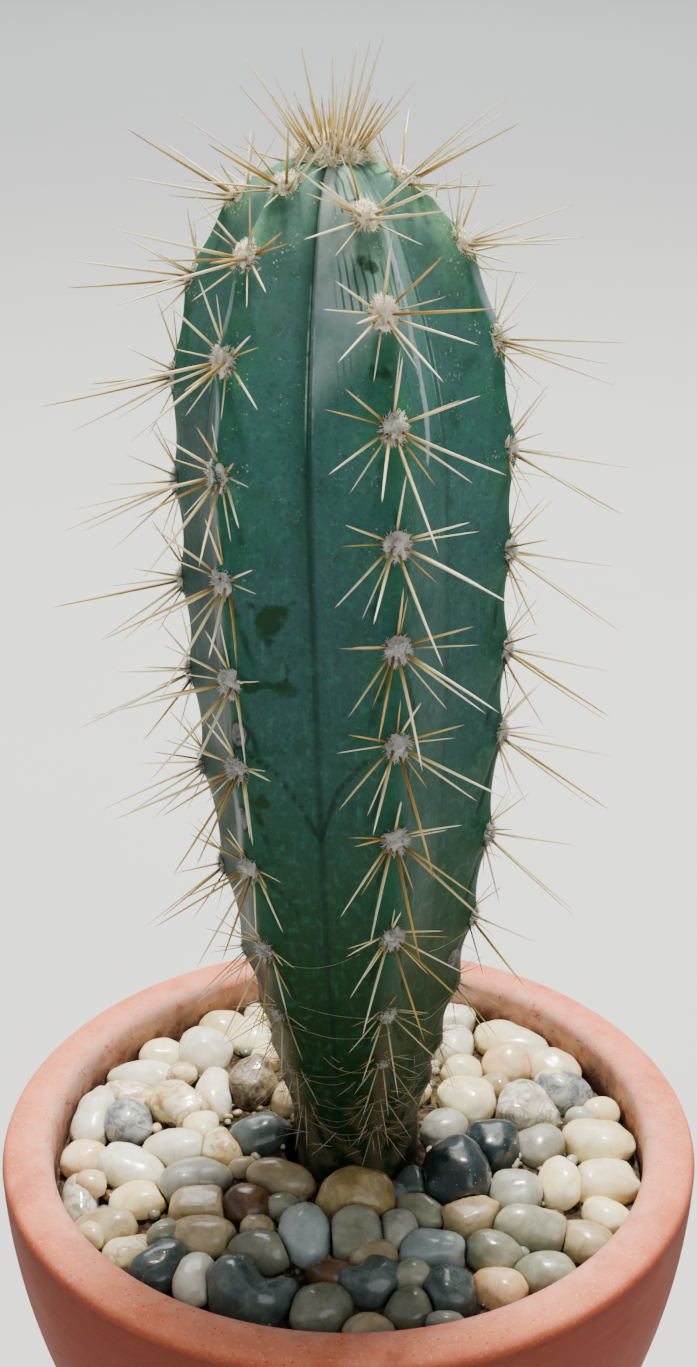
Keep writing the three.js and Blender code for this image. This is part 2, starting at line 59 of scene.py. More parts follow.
# Fill
SOIL_TOP = RIM_Z - 27
BED_AT_STEM = RIM_Z - 6
BED_AT_WALL = RIM_Z - 10
STONE_CLEAR = 1.3
GRAVEL_RADIUS = 62.6
GRAVEL_SIDES = 160

# Stem, in heights over the rim
RIBS = 6
FIRST_RIB_DEG = 18
STEM_TOP = 207.5
STEM_WAIST = 150
STEM_RADIUS = 32.3
FOOT_RADIUS = 13.8
FOOT_RISE = 1.3
FOOT_SWELL = 3.2
DOME_RISE = 2.3
DOME_ROUND = 2.2
AXIS_AT_RIM = 1.5
LEAN = 0.02
CREST_BLUNT = 0.15
NOTCH = 0.7
ROOT_END = -46
ROOT_RADIUS = 11.5
AREOLES_A = [10, 19, 29, 42, 62, 85, 105.5, 125, 145, 166, 185, 200]
AREOLES_B = [14.5, 24, 39, 55.5, 75, 97.5, 115.5, 135.5, 155.5, 176, 193, 204]
AREOLE_PROUD = 1.1
PAD_HALF = [2.2, 2.9, 1.7]  # half width, half height and half thickness of an areole's felt
HAIRS_PER_PAD = 420
PAD_HAIR_RADIUS = 0.14
COLUMNS_PER_RIB = 34
ROW_STEP = 0.9
AREOLE_SWELL = 0.55
CREST_RIDGE = 0.55
BROAD_RIDGE = 0.9
SCAR_PROUD = 0.4
SKIN_UNEVEN = 0.35

# Spines
CENTRALS = 3
CENTRAL_STEP = 65
RADIALS = 5
RADIAL_STEP = 60
TURN_PLAY = 22
OPEN_PLAY = 14
CENTRAL_OPEN = 33
RADIAL_OPEN = 60
CENTRAL_LONG = 24.5
RADIAL_LONG = 18
RADIAL_SHORT = 12.5
LONG_PLAY = 4
CENTRAL_ROOT = [0.9, -0.1]
RADIAL_ROOT = [1.8, -0.6]
SPINE_RADIUS = 0.31
SPINE_SUNK = 0.8
SPINE_SWAY = 0.05
THREAD_RADIUS = 0.038
THREAD_STEPS = 14
FOOT_HAIRS = 150
FOOT_HAIR_RADIUS = 0.06
SHORTEST = 3
LOWEST_TIP = RIM_Z + 3
FINE_SPINES = 5  # hair-thin ones in every areole, besides the others
FINE_STEP = 75
FINE_RADIUS = 0.17

# Crown
WOOL_RADIUS = 7
WOOL_HEIGHT = 3.4
CROWN_SPINES = 26
CROWN_LONG = 17
CROWN_SHORT = 10
CROWN_PLAY = 4
YOUNG_SPINES = 34
YOUNG_RADIUS = 0.19
CROWN_HAIRS = 3600
CROWN_HAIR_RADIUS = 0.12
GOLDEN_TURN = 137.5 * RAD

# Camera: it looks along +Y and down, as a person does at a pot on a table
CAMERA_BACK = 362
CAMERA_OVER_RIM = 264
CAMERA_DOWN_DEG = 23.7
CAMERA_LENS = 52.67


# Draws, curves and vectors

def multiply(a, b):
    return (a * b) & 0xFFFFFFFF


def draws(seed):
    """A repeatable row of draws between 0 and 1."""
    state = seed

    def draw():
        nonlocal state
        state = (state + 0x6D2B79F5) & 0xFFFFFFFF
        t = multiply(state ^ (state >> 15), 1 | state)
        t = ((t + multiply(t ^ (t >> 7), 61 | t)) & 0xFFFFFFFF) ^ t
        return ((t ^ (t >> 14)) & 0xFFFFFFFF) / 4294967296

    return draw


def stray(draw):
    """A drawn step in any direction."""
    return Vector((draw() - 0.5, draw() - 0.5, draw() - 0.5))


def sway(draw, most):
    """A drawn bend in x and y."""
    return most * (draw() - 0.5), most * (draw() - 0.5)


def clamp01(t):
    return min(1.0, max(0.0, t))


def ease(t):
    return clamp01(t) ** 2 * (3 - 2 * clamp01(t))


def outward(turn):
    """The level direction at an angle round the stem, measured from the front towards the right."""
    return Vector((math.sin(turn), -math.cos(turn), 0))


def colour(red, green, blue):
    """A colour from its screen values between 0 and 255."""
    shares = [c / 255 for c in (red, green, blue)]
    return [c / 12.92 if c <= 0.04045 else ((c + 0.055) / 1.055) ** 2.4 for c in shares] + [1.0]


# Modelling by hand: a shape starts as a ring and grows by extruding it

def start_fresh():
    if bpy.context.object and bpy.context.object.mode == "EDIT":
        bpy.ops.object.mode_set(mode="OBJECT")
    bpy.ops.object.select_all(action="DESELECT")


def grown(name, profile, sides, close_ends=True):
    """A round shape: a ring at the profile's first [radius, height], extruded from point to point."""
    start_fresh()
    radius, height = profile[0]
    bpy.ops.mesh.primitive_circle_add(vertices=sides, radius=radius * MM, location=(0, 0, height * MM))
    ring = bpy.context.object
    ring.name = name
    bpy.ops.object.transform_apply(location=True, rotation=True, scale=True)
    bpy.ops.object.mode_set(mode="EDIT")
    bpy.ops.mesh.select_all(action="SELECT")
    if close_ends:
        bpy.ops.mesh.edge_face_add()
        bpy.ops.mesh.select_mode(type="EDGE")
    for (r0, z0), (r1, z1) in zip(profile, profile[1:]):
        bpy.ops.mesh.extrude_region_move(TRANSFORM_OT_translate={"value": (0, 0, (z1 - z0) * MM)})
        if r1 != r0:
            bpy.ops.transform.resize(value=(r1 / r0, r1 / r0, 1), center_override=(0, 0, z1 * MM))
    bpy.ops.mesh.select_all(action="SELECT")
    bpy.ops.mesh.remove_doubles(threshold=1e-6)
    bpy.ops.mesh.normals_make_consistent(inside=False)
    bpy.ops.object.mode_set(mode="OBJECT")
    return ring


def shape_of(piece):
    """A modelled shape as its points and faces, to be copied. The shape itself is taken out of the scene."""
    points = np.array([v.co for v in piece.data.vertices])
    faces = [tuple(p.vertices) for p in piece.data.polygons]
    bpy.data.objects.remove(piece)
    return points, faces


def round_shape(subdivisions):
    start_fresh()
    bpy.ops.mesh.primitive_ico_sphere_add(subdivisions=subdivisions, radius=1)
    return shape_of(bpy.context.object)


def cone_shape():
    start_fresh()
    bpy.ops.mesh.primitive_cone_add(vertices=3, radius1=1, radius2=0, depth=1, location=(0, 0, 0.5))
    bpy.ops.object.transform_apply(location=True, rotation=True, scale=True)
    return shape_of(bpy.context.object)


class Heap:
    """Copies of modelled shapes, gathered in one mesh, each with its own numbers for the finish."""

    def __init__(self):
        self.points = []
        self.faces = []
        self.slots = []
        self.marks = {}
        self.count = 0

    def add(self, points, faces, slot=0, **marks):
        self.points.append(np.asarray(points) * MM)
        self.faces += [tuple(i + self.count for i in face) for face in faces]
        self.slots += [slot] * len(faces)
        for mark, value in marks.items():
            values = np.broadcast_to(np.asarray(value, float), (len(points),))
            self.marks.setdefault(mark, []).append(values)
        self.count += len(points)

    def piece(self, name, *materials):
        mesh = bpy.data.meshes.new(name)
        mesh.from_pydata(np.vstack(self.points).tolist(), [], self.faces)
        for mark, values in self.marks.items():
            mesh.attributes.new(mark, "FLOAT", "POINT").data.foreach_set("value", np.hstack(values))
        made = bpy.data.objects.new(name, mesh)
        bpy.context.scene.collection.objects.link(made)
        for material in materials:
            mesh.materials.append(material)
        mesh.polygons.foreach_set("material_index", self.slots)
        smooth(made)
        return made


def smooth(piece, sharp_deg=None):
    start_fresh()
    piece.select_set(True)
    bpy.context.view_layer.objects.active = piece
    if sharp_deg is None:
        bpy.ops.object.shade_smooth()
    else:
        bpy.ops.object.shade_smooth_by_angle(angle=sharp_deg * RAD)


def seat_piece(piece, slot, *nodes):
    """Joins a finished piece to the plant's one body."""
    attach(piece, "root")
    if nodes:
        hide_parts(*nodes)


# Putting a finish together

class Finish:
    """A procedural material. Lengths in it are in millimetres on Object coordinates."""

    def __init__(self, name, roughness=0.6, specular=0.5, coat=0.0, coat_roughness=0.2, sheen=0.0):
        self.material = bpy.data.materials.new(name)
        self.material.use_nodes = True
        self.tree = self.material.node_tree
        self.shader = self.tree.nodes["Principled BSDF"]
        sockets = ("Roughness", "Specular IOR Level", "Coat Weight", "Coat Roughness", "Sheen Weight")
        for socket, value in zip(sockets, (roughness, specular, coat, coat_roughness, sheen)):
            self.shader.inputs[socket].default_value = value
        self.place = self.node("TexCoord").outputs["Object"]
        self.base = None

    def node(self, kind, **settings):
        made = self.tree.nodes.new("ShaderNode" + kind)
        for key, value in settings.items():
            setattr(made, key, value)
        return made

    def plug(self, socket, value):
        if isinstance(value, bpy.types.NodeSocket):
            self.tree.links.new(value, socket)
        else:
            socket.default_value = value

    def mark(self, name):
        return self.node("Attribute", attribute_name=name).outputs["Fac"]

    def math(self, operation, a, b=0.0):
        made = self.node("Math", operation=operation)
        self.plug(made.inputs[0], a)
        self.plug(made.inputs[1], b)
        return made.outputs[0]

    def times(self, product, *others):
        for other in others:
            product = self.math("MULTIPLY", product, other)
        return product

    def plus(self, a, b):
        return self.math("ADD", a, b)

    def minus(self, a, b):
        return self.math("SUBTRACT", a, b)

    def vector(self, operation, a, b=None):
        made = self.node("VectorMath", operation=operation)
        self.plug(made.inputs[0], a)
        if b is not None:
            self.plug(made.inputs["Scale" if operation == "SCALE" else 1], b)
        return made.outputs["Value" if operation == "LENGTH" else 0]

    def stretched(self, x, y, z):
        """The place on the piece, with each axis stretched by its own number."""
        made = self.node("Mapping")
        self.plug(made.inputs["Vector"], self.place)
        made.inputs["Scale"].default_value = (x, y, z)
        return made.outputs[0]

    def noise(self, size_mm, detail=3.0, place=None, own=None, distortion=0.0):
        made = self.node("TexNoise", noise_dimensions="3D" if own is None else "4D")
        self.plug(made.inputs["Vector"], place or self.place)
        if own is not None:
            self.plug(made.inputs["W"], self.times(own, 37.0))
        made.inputs["Scale"].default_value = 1 / (size_mm * MM)
        made.inputs["Detail"].default_value = detail
        made.inputs["Roughness"].default_value = 0.55
        made.inputs["Distortion"].default_value = distortion
        return made.outputs[0]

    def cells(self, size_mm):
        made = self.node("TexVoronoi")
        self.plug(made.inputs["Vector"], self.place)
        made.inputs["Scale"].default_value = 1 / (size_mm * MM)
        return made.outputs["Distance"]

    def span(self, value, low, high, to_low=0.0, to_high=1.0, soft=True):
        """The value's place between low and high, as a number between to_low and to_high."""
        made = self.node("MapRange", interpolation_type="SMOOTHSTEP" if soft else "LINEAR")
        for socket, number in zip(made.inputs, (value, low, high, to_low, to_high)):
            self.plug(socket, number)
        return made.outputs[0]

    def clouds(self, size_mm, low, high, to_low=0.0, to_high=1.0, **settings):
        """Noise of a size, spread from between two of its values to between two numbers."""
        return self.span(self.noise(size_mm, **settings), low, high, to_low, to_high)

    def mix(self, low, high, share):
        made = self.node("Mix", data_type="RGBA")
        self.plug(made.inputs[0], share)
        self.plug(made.inputs[6], low)
        self.plug(made.inputs[7], high)
        return made.outputs[2]

    def ramp(self, value, *stops):
        """Colours along a value. A stop is its position, then the colour's screen values."""
        made = self.node("ValToRGB")
        self.plug(made.inputs[0], value)
        line = made.color_ramp
        while len(line.elements) < len(stops):
            line.elements.new(0.5)
        for element, (position, *shade) in zip(line.elements, stops):
            element.position = position
            element.color = colour(*shade)
        return made.outputs[0]

    def paint(self, shade, *shares):
        """Lays a colour over the base, as strongly as the product of the shares."""
        if isinstance(shade, tuple):
            shade = colour(*shade)
        self.base = self.mix(self.base, shade, self.times(*shares))

    def dim(self, share):
        self.base = self.vector("SCALE", self.base, share)

    def bump(self, height, strength, distance_mm, under=None):
        made = self.node("Bump")
        made.inputs["Strength"].default_value = strength
        made.inputs["Distance"].default_value = distance_mm * MM
        self.plug(made.inputs["Height"], height)
        if under is not None:
            self.plug(made.inputs["Normal"], under)
        return made.outputs[0]

    def done(self, roughness=None, normal=None):
        for socket, value in (("Base Color", self.base), ("Roughness", roughness), ("Normal", normal)):
            if value is not None:
                self.plug(self.shader.inputs[socket], value)
        return self.material


# Clay pot

def outer_radius(z):
    down = max(0, POT_HEIGHT - WIDEST_BELOW_TOP - z)
    return POT_RADIUS - WALL_SLOPE * down - WALL_CURVE * down * down


def inner_radius(z):
    return outer_radius(z) - WALL_THICK


INNER_HEIGHTS = [FLOOR_THICK + 5, 32, 52, 72, 88]


def inside_radius(z):
    """Radius of the pot's inside at a height, along the straight lines between its profile points."""
    points = [[inner_radius(FLOOR_THICK) - 5, FLOOR_THICK]]
    points += [[inner_radius(h), h] for h in INNER_HEIGHTS]
    points += [[POT_RADIUS - 10.9, POT_HEIGHT - 4.5]]
    for (r0, z0), (r1, z1) in zip(points, points[1:]):
        if z <= z1:
            return r0 + (r1 - r0) * (z - z0) / (z1 - z0)
    return points[-1][0]


def pot_profile():
    foot = outer_radius(0) - 1.5
    outside = [1.5] + [4 + 3.2 * i for i in range(29)] + [POT_HEIGHT - WIDEST_BELOW_TOP]
    rim = [
        [0.15, -2.5],
        [0.5, -1.6],
        [1.1, -0.95],
        [2, -0.4],
        [3.1, -0.12],
        [4.4, 0],
        [5.9, -0.02],
        [7.4, -0.1],
        [8.5, -0.28],
        [9.4, -RIM_EDGE_BELOW_TOP],
        [10.1, -1.2],
        [10.5, -2],
        [10.75, -3.1],
        [10.9, -4.5],
    ]
    inside = [[inner_radius(z), z] for z in reversed(INNER_HEIGHTS)]
    return [
        [DRAIN_RADIUS, 0],
        [foot, 0],
        [foot + 0.6, 0.3],
        *[[outer_radius(z), z] for z in outside],
        *[[POT_RADIUS - r, POT_HEIGHT + z] for r, z in rim],
        *inside,
        [inner_radius(FLOOR_THICK) - 5, FLOOR_THICK],
        [DRAIN_RADIUS, FLOOR_THICK],
        [DRAIN_RADIUS, 0],
    ]


def clay_lime(look, height, radius):
    """Lime on the rim's inner half and inside it, a brown crust lower down, and dark scraps of roots."""
    above_fill = look.span(height, 0.06, 0.075)
    chalk = look.clouds(4, 0.34, 0.66, 0.1, 0.55, detail=6)
    look.paint((232, 168, 144), look.span(radius, 0.0724, 0.0668), chalk, above_fill)
    inner = look.times(look.span(radius, 0.0668, 0.0646), above_fill)
    look.paint((184, 150, 136), inner, look.clouds(7, 0.3, 0.66, 0.2, 0.75, detail=5))
    crust = look.clouds(3.5, 0.4, 0.6, 0.1, 0.85, detail=5)
    look.paint((104, 66, 50), inner, look.span(height, 0.0968, 0.0915), crust)
    fibres = look.math("ABSOLUTE", look.minus(look.noise(5, detail=4, distortion=0.8), 0.5))
    look.paint((54, 36, 30), look.span(fibres, 0.012, 0.004), look.clouds(4.4, 0.5, 0.58), inner, 0.8)
    return inner


def clay():
    look = Finish("terracotta", roughness=0.8, specular=0.16)
    split = look.node("SeparateXYZ")
    look.plug(split.inputs[0], look.place)
    height = split.outputs["Z"]
    flat = look.vector("MULTIPLY", look.place, (1, 1, 0))
    radius = look.vector("LENGTH", flat)
    # fired clay, a little uneven, with bands left by the wheel, which run round the pot
    circle = look.vector("SCALE", look.vector("NORMALIZE", flat), 0.014)
    lift = look.node("CombineXYZ")
    look.plug(lift.inputs[2], look.minus(look.times(height, 1.4), radius))
    bands = look.noise(2.6, detail=5, place=look.vector("ADD", circle, lift.outputs[0]))
    clouds = look.noise(26, detail=4)
    look.base = look.mix(colour(196, 88, 52), colour(216, 112, 74), look.span(clouds, 0.35, 0.68))
    look.paint((158, 66, 40), look.span(bands, 0.52, 0.74, 0, 0.5))
    look.paint((234, 150, 112), look.span(bands, 0.46, 0.3, 0, 0.35))
    look.paint((168, 78, 50), look.clouds(5, 0.54, 0.72, 0, 0.4, detail=5, distortion=0.4))
    # the rim's top is painted a lighter orange as painted light, where light from above falls on it, with
    # light grains, and its outer edge is painted a deeper red as painted shade
    cloudy = look.clouds(9, 0.3, 0.65, 0.3, 0.8, detail=4)
    look.paint((238, 140, 106), look.span(height, 0.0975, 0.0993), cloudy)
    look.paint((250, 198, 172), look.clouds(0.6, 0.56, 0.74, 0, 0.5))
    look.paint((186, 86, 58), look.span(radius, 0.0735, 0.0748, 0, 0.35))
    # painted shade: the wall under the rim is painted a much deeper red, as it turns away from the light
    # above, with faint smudges of handling
    look.paint((106, 48, 38), look.span(height, 0.0991, 0.0962, 0, 0.9))
    look.paint((128, 70, 54), look.clouds(16, 0.54, 0.7, 0, 0.42, detail=5, distortion=0.6))
    inner = clay_lime(look, height, radius)
    # sparse dark specks and brown pits
    sparse = look.clouds(14, 0.58, 0.68, detail=2)
    look.paint((40, 28, 24), look.span(look.cells(4.2), 0.13, 0.09), sparse, look.span(inner, 0, 1, 0.3, 1))
    look.paint((120, 58, 40), look.span(look.cells(1.6), 0.16, 0.08), look.span(clouds, 0.45, 0.6, 0.2, 0.8))
    pores = look.bump(look.noise(0.55), 0.35, 0.3)
    normal = look.bump(bands, 0.35, 0.5, under=pores)
    return look.done(look.span(clouds, 0.3, 0.7, 0.72, 0.86), normal)


def make_pot():
    pot = grown("clay_pot", pot_profile(), POT_SIDES, close_ends=False)
    pot.data.materials.append(clay())
    smooth(pot, 40)
    seat_piece(pot, "clay", "pot")


# Stem form

def axis_at(h):
    """The middle of the leaning stem at a height over the rim."""
    return Vector((AXIS_AT_RIM - LEAN * max(0, h), 0, RIM_Z + h))


def crest_radius(h):
    if h > STEM_WAIST:
        t = min(1, (h - STEM_WAIST) / (STEM_TOP - STEM_WAIST))
        return STEM_RADIUS * (1 - t ** DOME_RISE) ** (1 / DOME_ROUND)
    t = clamp01(h / STEM_WAIST)
    return STEM_RADIUS - (STEM_RADIUS - FOOT_RADIUS) * (1 - t ** FOOT_RISE) ** FOOT_SWELL


def groove_share(h):
    return 0.93 - 0.13 * ease(h / 95) - 0.13 * ease((h - 150) / 50)


def areoles_of(rib):
    return AREOLES_B if rib % 2 else AREOLES_A


def crest_dip(rib, h):
    heights = [0, *areoles_of(rib), STEM_TOP]
    for low, high in zip(heights, heights[1:]):
        share = (h - low) / (high - low)
        if 0 <= share <= 1:
            return NOTCH * math.sin(math.pi * share) ** 2
    return 0


def rib_at(deg):
    """The rib at an angle, and where the angle lies on it: 0 on the crest, -1 and 1 in the grooves."""
    turns = (deg - FIRST_RIB_DEG) / (360 / RIBS)
    nearest = math.floor(turns + 0.5)
    return nearest % RIBS, (turns - nearest) * 2


def skin_radius(h, deg):
    rib, signed = rib_at(deg)
    across = abs(signed)
    blunt = math.sqrt(across * across + CREST_BLUNT * CREST_BLUNT) - CREST_BLUNT
    full = math.sqrt(1 + CREST_BLUNT * CREST_BLUNT) - CREST_BLUNT
    crest = crest_radius(h)
    groove = crest * groove_share(h)
    half = 180 / RIBS * RAD
    turn = half * blunt / full
    below = crest * math.sin(turn) + groove * math.sin(half - turn)
    flat = crest * groove * math.sin(half) / (below or 1)
    return flat - crest_dip(rib, h) * (1 - across) * ease(crest / 12)


class Seat:
    """Where an areole sits and which way it faces."""

    def __init__(self, rib, h):
        deg = FIRST_RIB_DEG + rib * 360 / RIBS
        out = outward(deg * RAD)
        rise = (skin_radius(h + 2, deg) - skin_radius(h - 2, deg)) / 4
        self.h = h
        self.face = (out - Vector((0, 0, max(-2, rise)))).normalized()
        self.side = Vector((0, 0, 1)).cross(out)
        self.up = self.face.cross(self.side).normalized()
        self.at = out * skin_radius(h, deg) + axis_at(h)


SEATS = [Seat(rib, h) for rib in range(RIBS) for h in areoles_of(rib)]


# Skin

# How much pale bloom a face of a rib carries high up: rib, face to its left or right, and share
FACE_BLOOM = {(0, -1): 1.0, (0, 1): 0.2, (5, 1): 0.14, (5, -1): 0.3, (4, 1): 0.1, (1, -1): 0.12, (1, 1): 0.5}
# Crests with a pale edge: rib, face, and the heights between which it shows
PALE_EDGES = [
    (5, -1, 177, 192),
    (5, -1, 156, 174),
    (1, -1, 174, 192),
    (3, -1, 120, 180),
    (2, 1, 150, 190),
]
# Broad crests have a pale edge to one side of the areoles: its height and distance from them, point by point
BROAD_EDGES = {
    0: [(149, 9.2), (166, 9.2), (175, 8.2), (184, 6.6), (192, 5.2), (203, 4)],
    3: [(128, 7), (150, 8), (170, 7.4), (190, 5), (200, 4)],
}
# Faces painted darker and browner, as painted shade on faces turned from the light with browner old skin,
# and how strongly they are painted
SHADED_OLD_FACES = {(5, -1): 0.8, (4, 1): 0.5, (2, 1): 0.4}
# How strong the painted shade in the groove beside a face is, where it isn't the usual
GROOVE_SHADE = {(5, 1): 1.0, (0, -1): 0.84, (0, 1): 0.35, (1, -1): 0.35}
# Dark water stains: rib, share of the way from crest to groove, height, half width, half height and depth
STAINS = [
    (5, 0.6, 130.5, 3.6, 1.9, 1),
    (5, 0.42, 128, 3.2, 2.6, 1),
    (5, 0.26, 131.5, 2.2, 1.4, 0.8),
    (5, 0.42, 124, 1.8, 2, 0.8),
    (5, 0.3, 115.3, 3, 1.5, 1),
    (5, 0.64, 117, 4, 5, 0.5),
    (5, 0.28, 91, 1.8, 1.8, 0.9),
    (0, -0.1, 192.4, 2.2, 1.7, 0.7),
    (0, -0.12, 175.5, 2.8, 3, 0.55),
    (2, 0.55, 130, 5, 4, 1),
    (3, -0.6, 84, 6, 4, 1),
]
# Creases drawn as painted shadow lines, each from one point to another: rib, share across and height, then
# share across and height
SHADOW_CREASES = [
    (5, 0.08, 102.5, 0.44, 97.5),
    (5, 0.44, 97.5, 1.0, 82),
    (0, -1.0, 83, -0.74, 93.5),
    (0, -0.74, 93.5, -0.3, 102.6),
    (5, 0.2, 74, 0.6, 64),
    (2, 0.2, 96, 0.97, 80),
    (3, -0.25, 60, -0.97, 44),
]
# Corky scars: rib, share, height, half width and half height
SCARS = [
    (5, 0.05, 105, 1.7, 2.5),
    (5, -0.02, 86.5, 1.4, 2.6),
    (3, 0.2, 120, 2.2, 3.2),
    (1, -0.3, 47, 1.8, 2.4),
]


def skin_rows():
    rows = []
    h = -10.0
    while h < 188:
        rows.append(h)
        h += ROW_STEP
    rest = STEM_TOP - h
    rows += [STEM_TOP - rest * (1 - i / 30) ** 1.8 for i in range(30)]
    return rows


def spots_at(spots, rib, signed, h):
    """How deep a point lies in the nearest of a list of oval spots: 1 in its middle, 0 outside."""
    width = crest_radius(h) * math.pi / RIBS
    most = 0
    for spot_rib, side, level, half_width, half_height, *depth in spots:
        if spot_rib == rib:
            aside = (signed - side) * width / half_width
            over = (h - level) / half_height
            most = max(most, math.exp(-aside * aside - over * over) * (depth[0] if depth else 1))
    return most


def broad_edge(rib, signed, h):
    """Distance of a broad crest's pale edge from its areoles, or 0 where it has none."""
    line = BROAD_EDGES.get(rib)
    if line is None or signed < 0 or not line[0][0] < h < line[-1][0]:
        return 0
    for (h0, b0), (h1, b1) in zip(line, line[1:]):
        if h <= h1:
            return b0 + (b1 - b0) * (h - h0) / (h1 - h0)
    return 0


def near_broad_edge(rib, signed, h, width):
    """How near a point is to the pale edge of a broad crest: 1 on it, 0 away from it."""
    middle = broad_edge(rib, signed, h)
    if not middle:
        return 0
    line = BROAD_EDGES[rib]
    away = (signed * crest_radius(h) * math.pi / RIBS - middle) / width
    return math.exp(-away * away) * ease((h - line[0][0]) / 14) * ease((line[-1][0] - h) / 8)


def off_shadow_creases(rib, signed, h):
    """Distance to the nearest shadow crease, at most 5 mm."""
    width = crest_radius(h) * math.pi / RIBS
    least = 5
    for crease_rib, side_a, h_a, side_b, h_b in SHADOW_CREASES:
        if crease_rib == rib:
            ax, ay = side_a * width, h_a
            bx, by = side_b * width, h_b
            px, py = signed * width - ax, h - ay
            share = clamp01((px * (bx - ax) + py * (by - ay)) / ((bx - ax) ** 2 + (by - ay) ** 2))
            least = min(least, math.hypot(px - share * (bx - ax), py - share * (by - ay)))
    return least


def skin_marks(rib, signed, h):
    """Numbers that the skin's finish reads at a point."""
    heights = [-8, *areoles_of(rib), STEM_TOP + 3]
    shown = max(h, heights[0])
    below = max(a for a in heights if a <= shown)
    above = min(a for a in heights if a > shown)
    phase = 2 * math.pi * (above - shown) / (above - below)
    face = -1 if signed < 0 else 1
    beside = abs(signed) * crest_radius(h) * math.pi / RIBS
    waxy = FACE_BLOOM.get((rib, face), 0.2)
    if beside < broad_edge(rib, signed, h):
        waxy = 0.6
    edges = [e for e in PALE_EDGES if e[0] == rib and e[1] == face]
    edge = max([ease((h - e[2]) / 8) * ease((e[3] - h) / 8) for e in edges], default=0)
    return {
        "across": abs(signed),
        "level": h / STEM_TOP,
        "beside": beside,
        "phase_sin": math.sin(phase),
        "phase_cos": math.cos(phase),
        "bloom": waxy * ease((h - 177 + 14 * abs(signed)) / 12),
        "old": SHADED_OLD_FACES.get((rib, face), 0) * ease((176 - h) / 20) * ease(abs(signed) * 5),
        "broad": near_broad_edge(rib, signed, h, 1.2),
        "groove": GROOVE_SHADE.get((rib, face), 0.7),
        "edge": edge,
        "crease": off_shadow_creases(rib, signed, h),
        "stain": spots_at(STAINS, rib, signed, h),
        "scar": spots_at(SCARS, rib, signed, h),
    }


def skin_lift(rib, signed, h, numbers):
    """How far the skin swells round the areoles and stands up along crests and at scars."""
    near = min(areoles_of(rib), key=lambda a: abs(a - h))
    swell = AREOLE_SWELL * math.exp(-((h - near) / 3.6) ** 2 - (numbers["beside"] / 4.2) ** 2)
    ridge = CREST_RIDGE * math.exp(-(numbers["beside"] / 1.1) ** 2) * ease((h - 120) / 40)
    if rib in BROAD_EDGES:
        ridge = BROAD_RIDGE * near_broad_edge(rib, signed, h, 2.6)
    return swell + ridge + SCAR_PROUD * numbers["scar"]


def skin_waves(deg, h):
    """Slow unevenness of the skin."""
    spot = Vector((math.sin(deg * RAD) * 30, math.cos(deg * RAD) * 30, h)) / 17
    return SKIN_UNEVEN * noise.noise(spot)


def make_skin(material):
    rows = skin_rows()
    root = [[ROOT_RADIUS * 0.7, ROOT_END], [ROOT_RADIUS, ROOT_END + 8], [ROOT_RADIUS, -24]]
    profile = root + [[ROOT_RADIUS, h] for h in rows]
    stem = grown("cactus_skin", profile, RIBS * COLUMNS_PER_RIB)
    mesh = stem.data
    marks = {}
    for vertex in mesh.vertices:
        x, y, h = vertex.co / MM
        turns = math.atan2(x, -y) / RAD / (360 / RIBS)
        nearest = math.floor(turns + 0.5)
        signed = (turns - nearest) * 2
        # columns crowd towards the crest and the groove, where the skin turns sharply
        signed -= 0.1 * math.sin(2 * math.pi * signed)
        deg = FIRST_RIB_DEG + (nearest + signed / 2) * 360 / RIBS
        rib = nearest % RIBS
        numbers = skin_marks(rib, signed, h)
        r = math.hypot(x, y)
        if h > -20:
            r = skin_radius(h, deg)
            lift = skin_lift(rib, signed, h, numbers) + skin_waves(deg, h)
            r += lift * ease(r / 14) * ease(h / 20)
        vertex.co = (outward(deg * RAD) * r + axis_at(h)) * MM
        for mark, value in numbers.items():
            marks.setdefault(mark, []).append(value)
    for mark, values in marks.items():
        mesh.attributes.new(mark, "FLOAT", "POINT").data.foreach_set("value", values)
    mesh.materials.append(material)
    smooth(stem)
    seat_piece(stem, "cactus_skin", "cactus_stem")


def share_below_areole(look):
    """0 at an areole and 1 at the next one down, worked out so that it has no step at the areoles."""
    angle = look.math("ARCTAN2", look.mark("phase_sin"), look.mark("phase_cos"))
    return look.math("FRACT", look.plus(look.math("DIVIDE", angle, 2 * math.pi), 1.0))


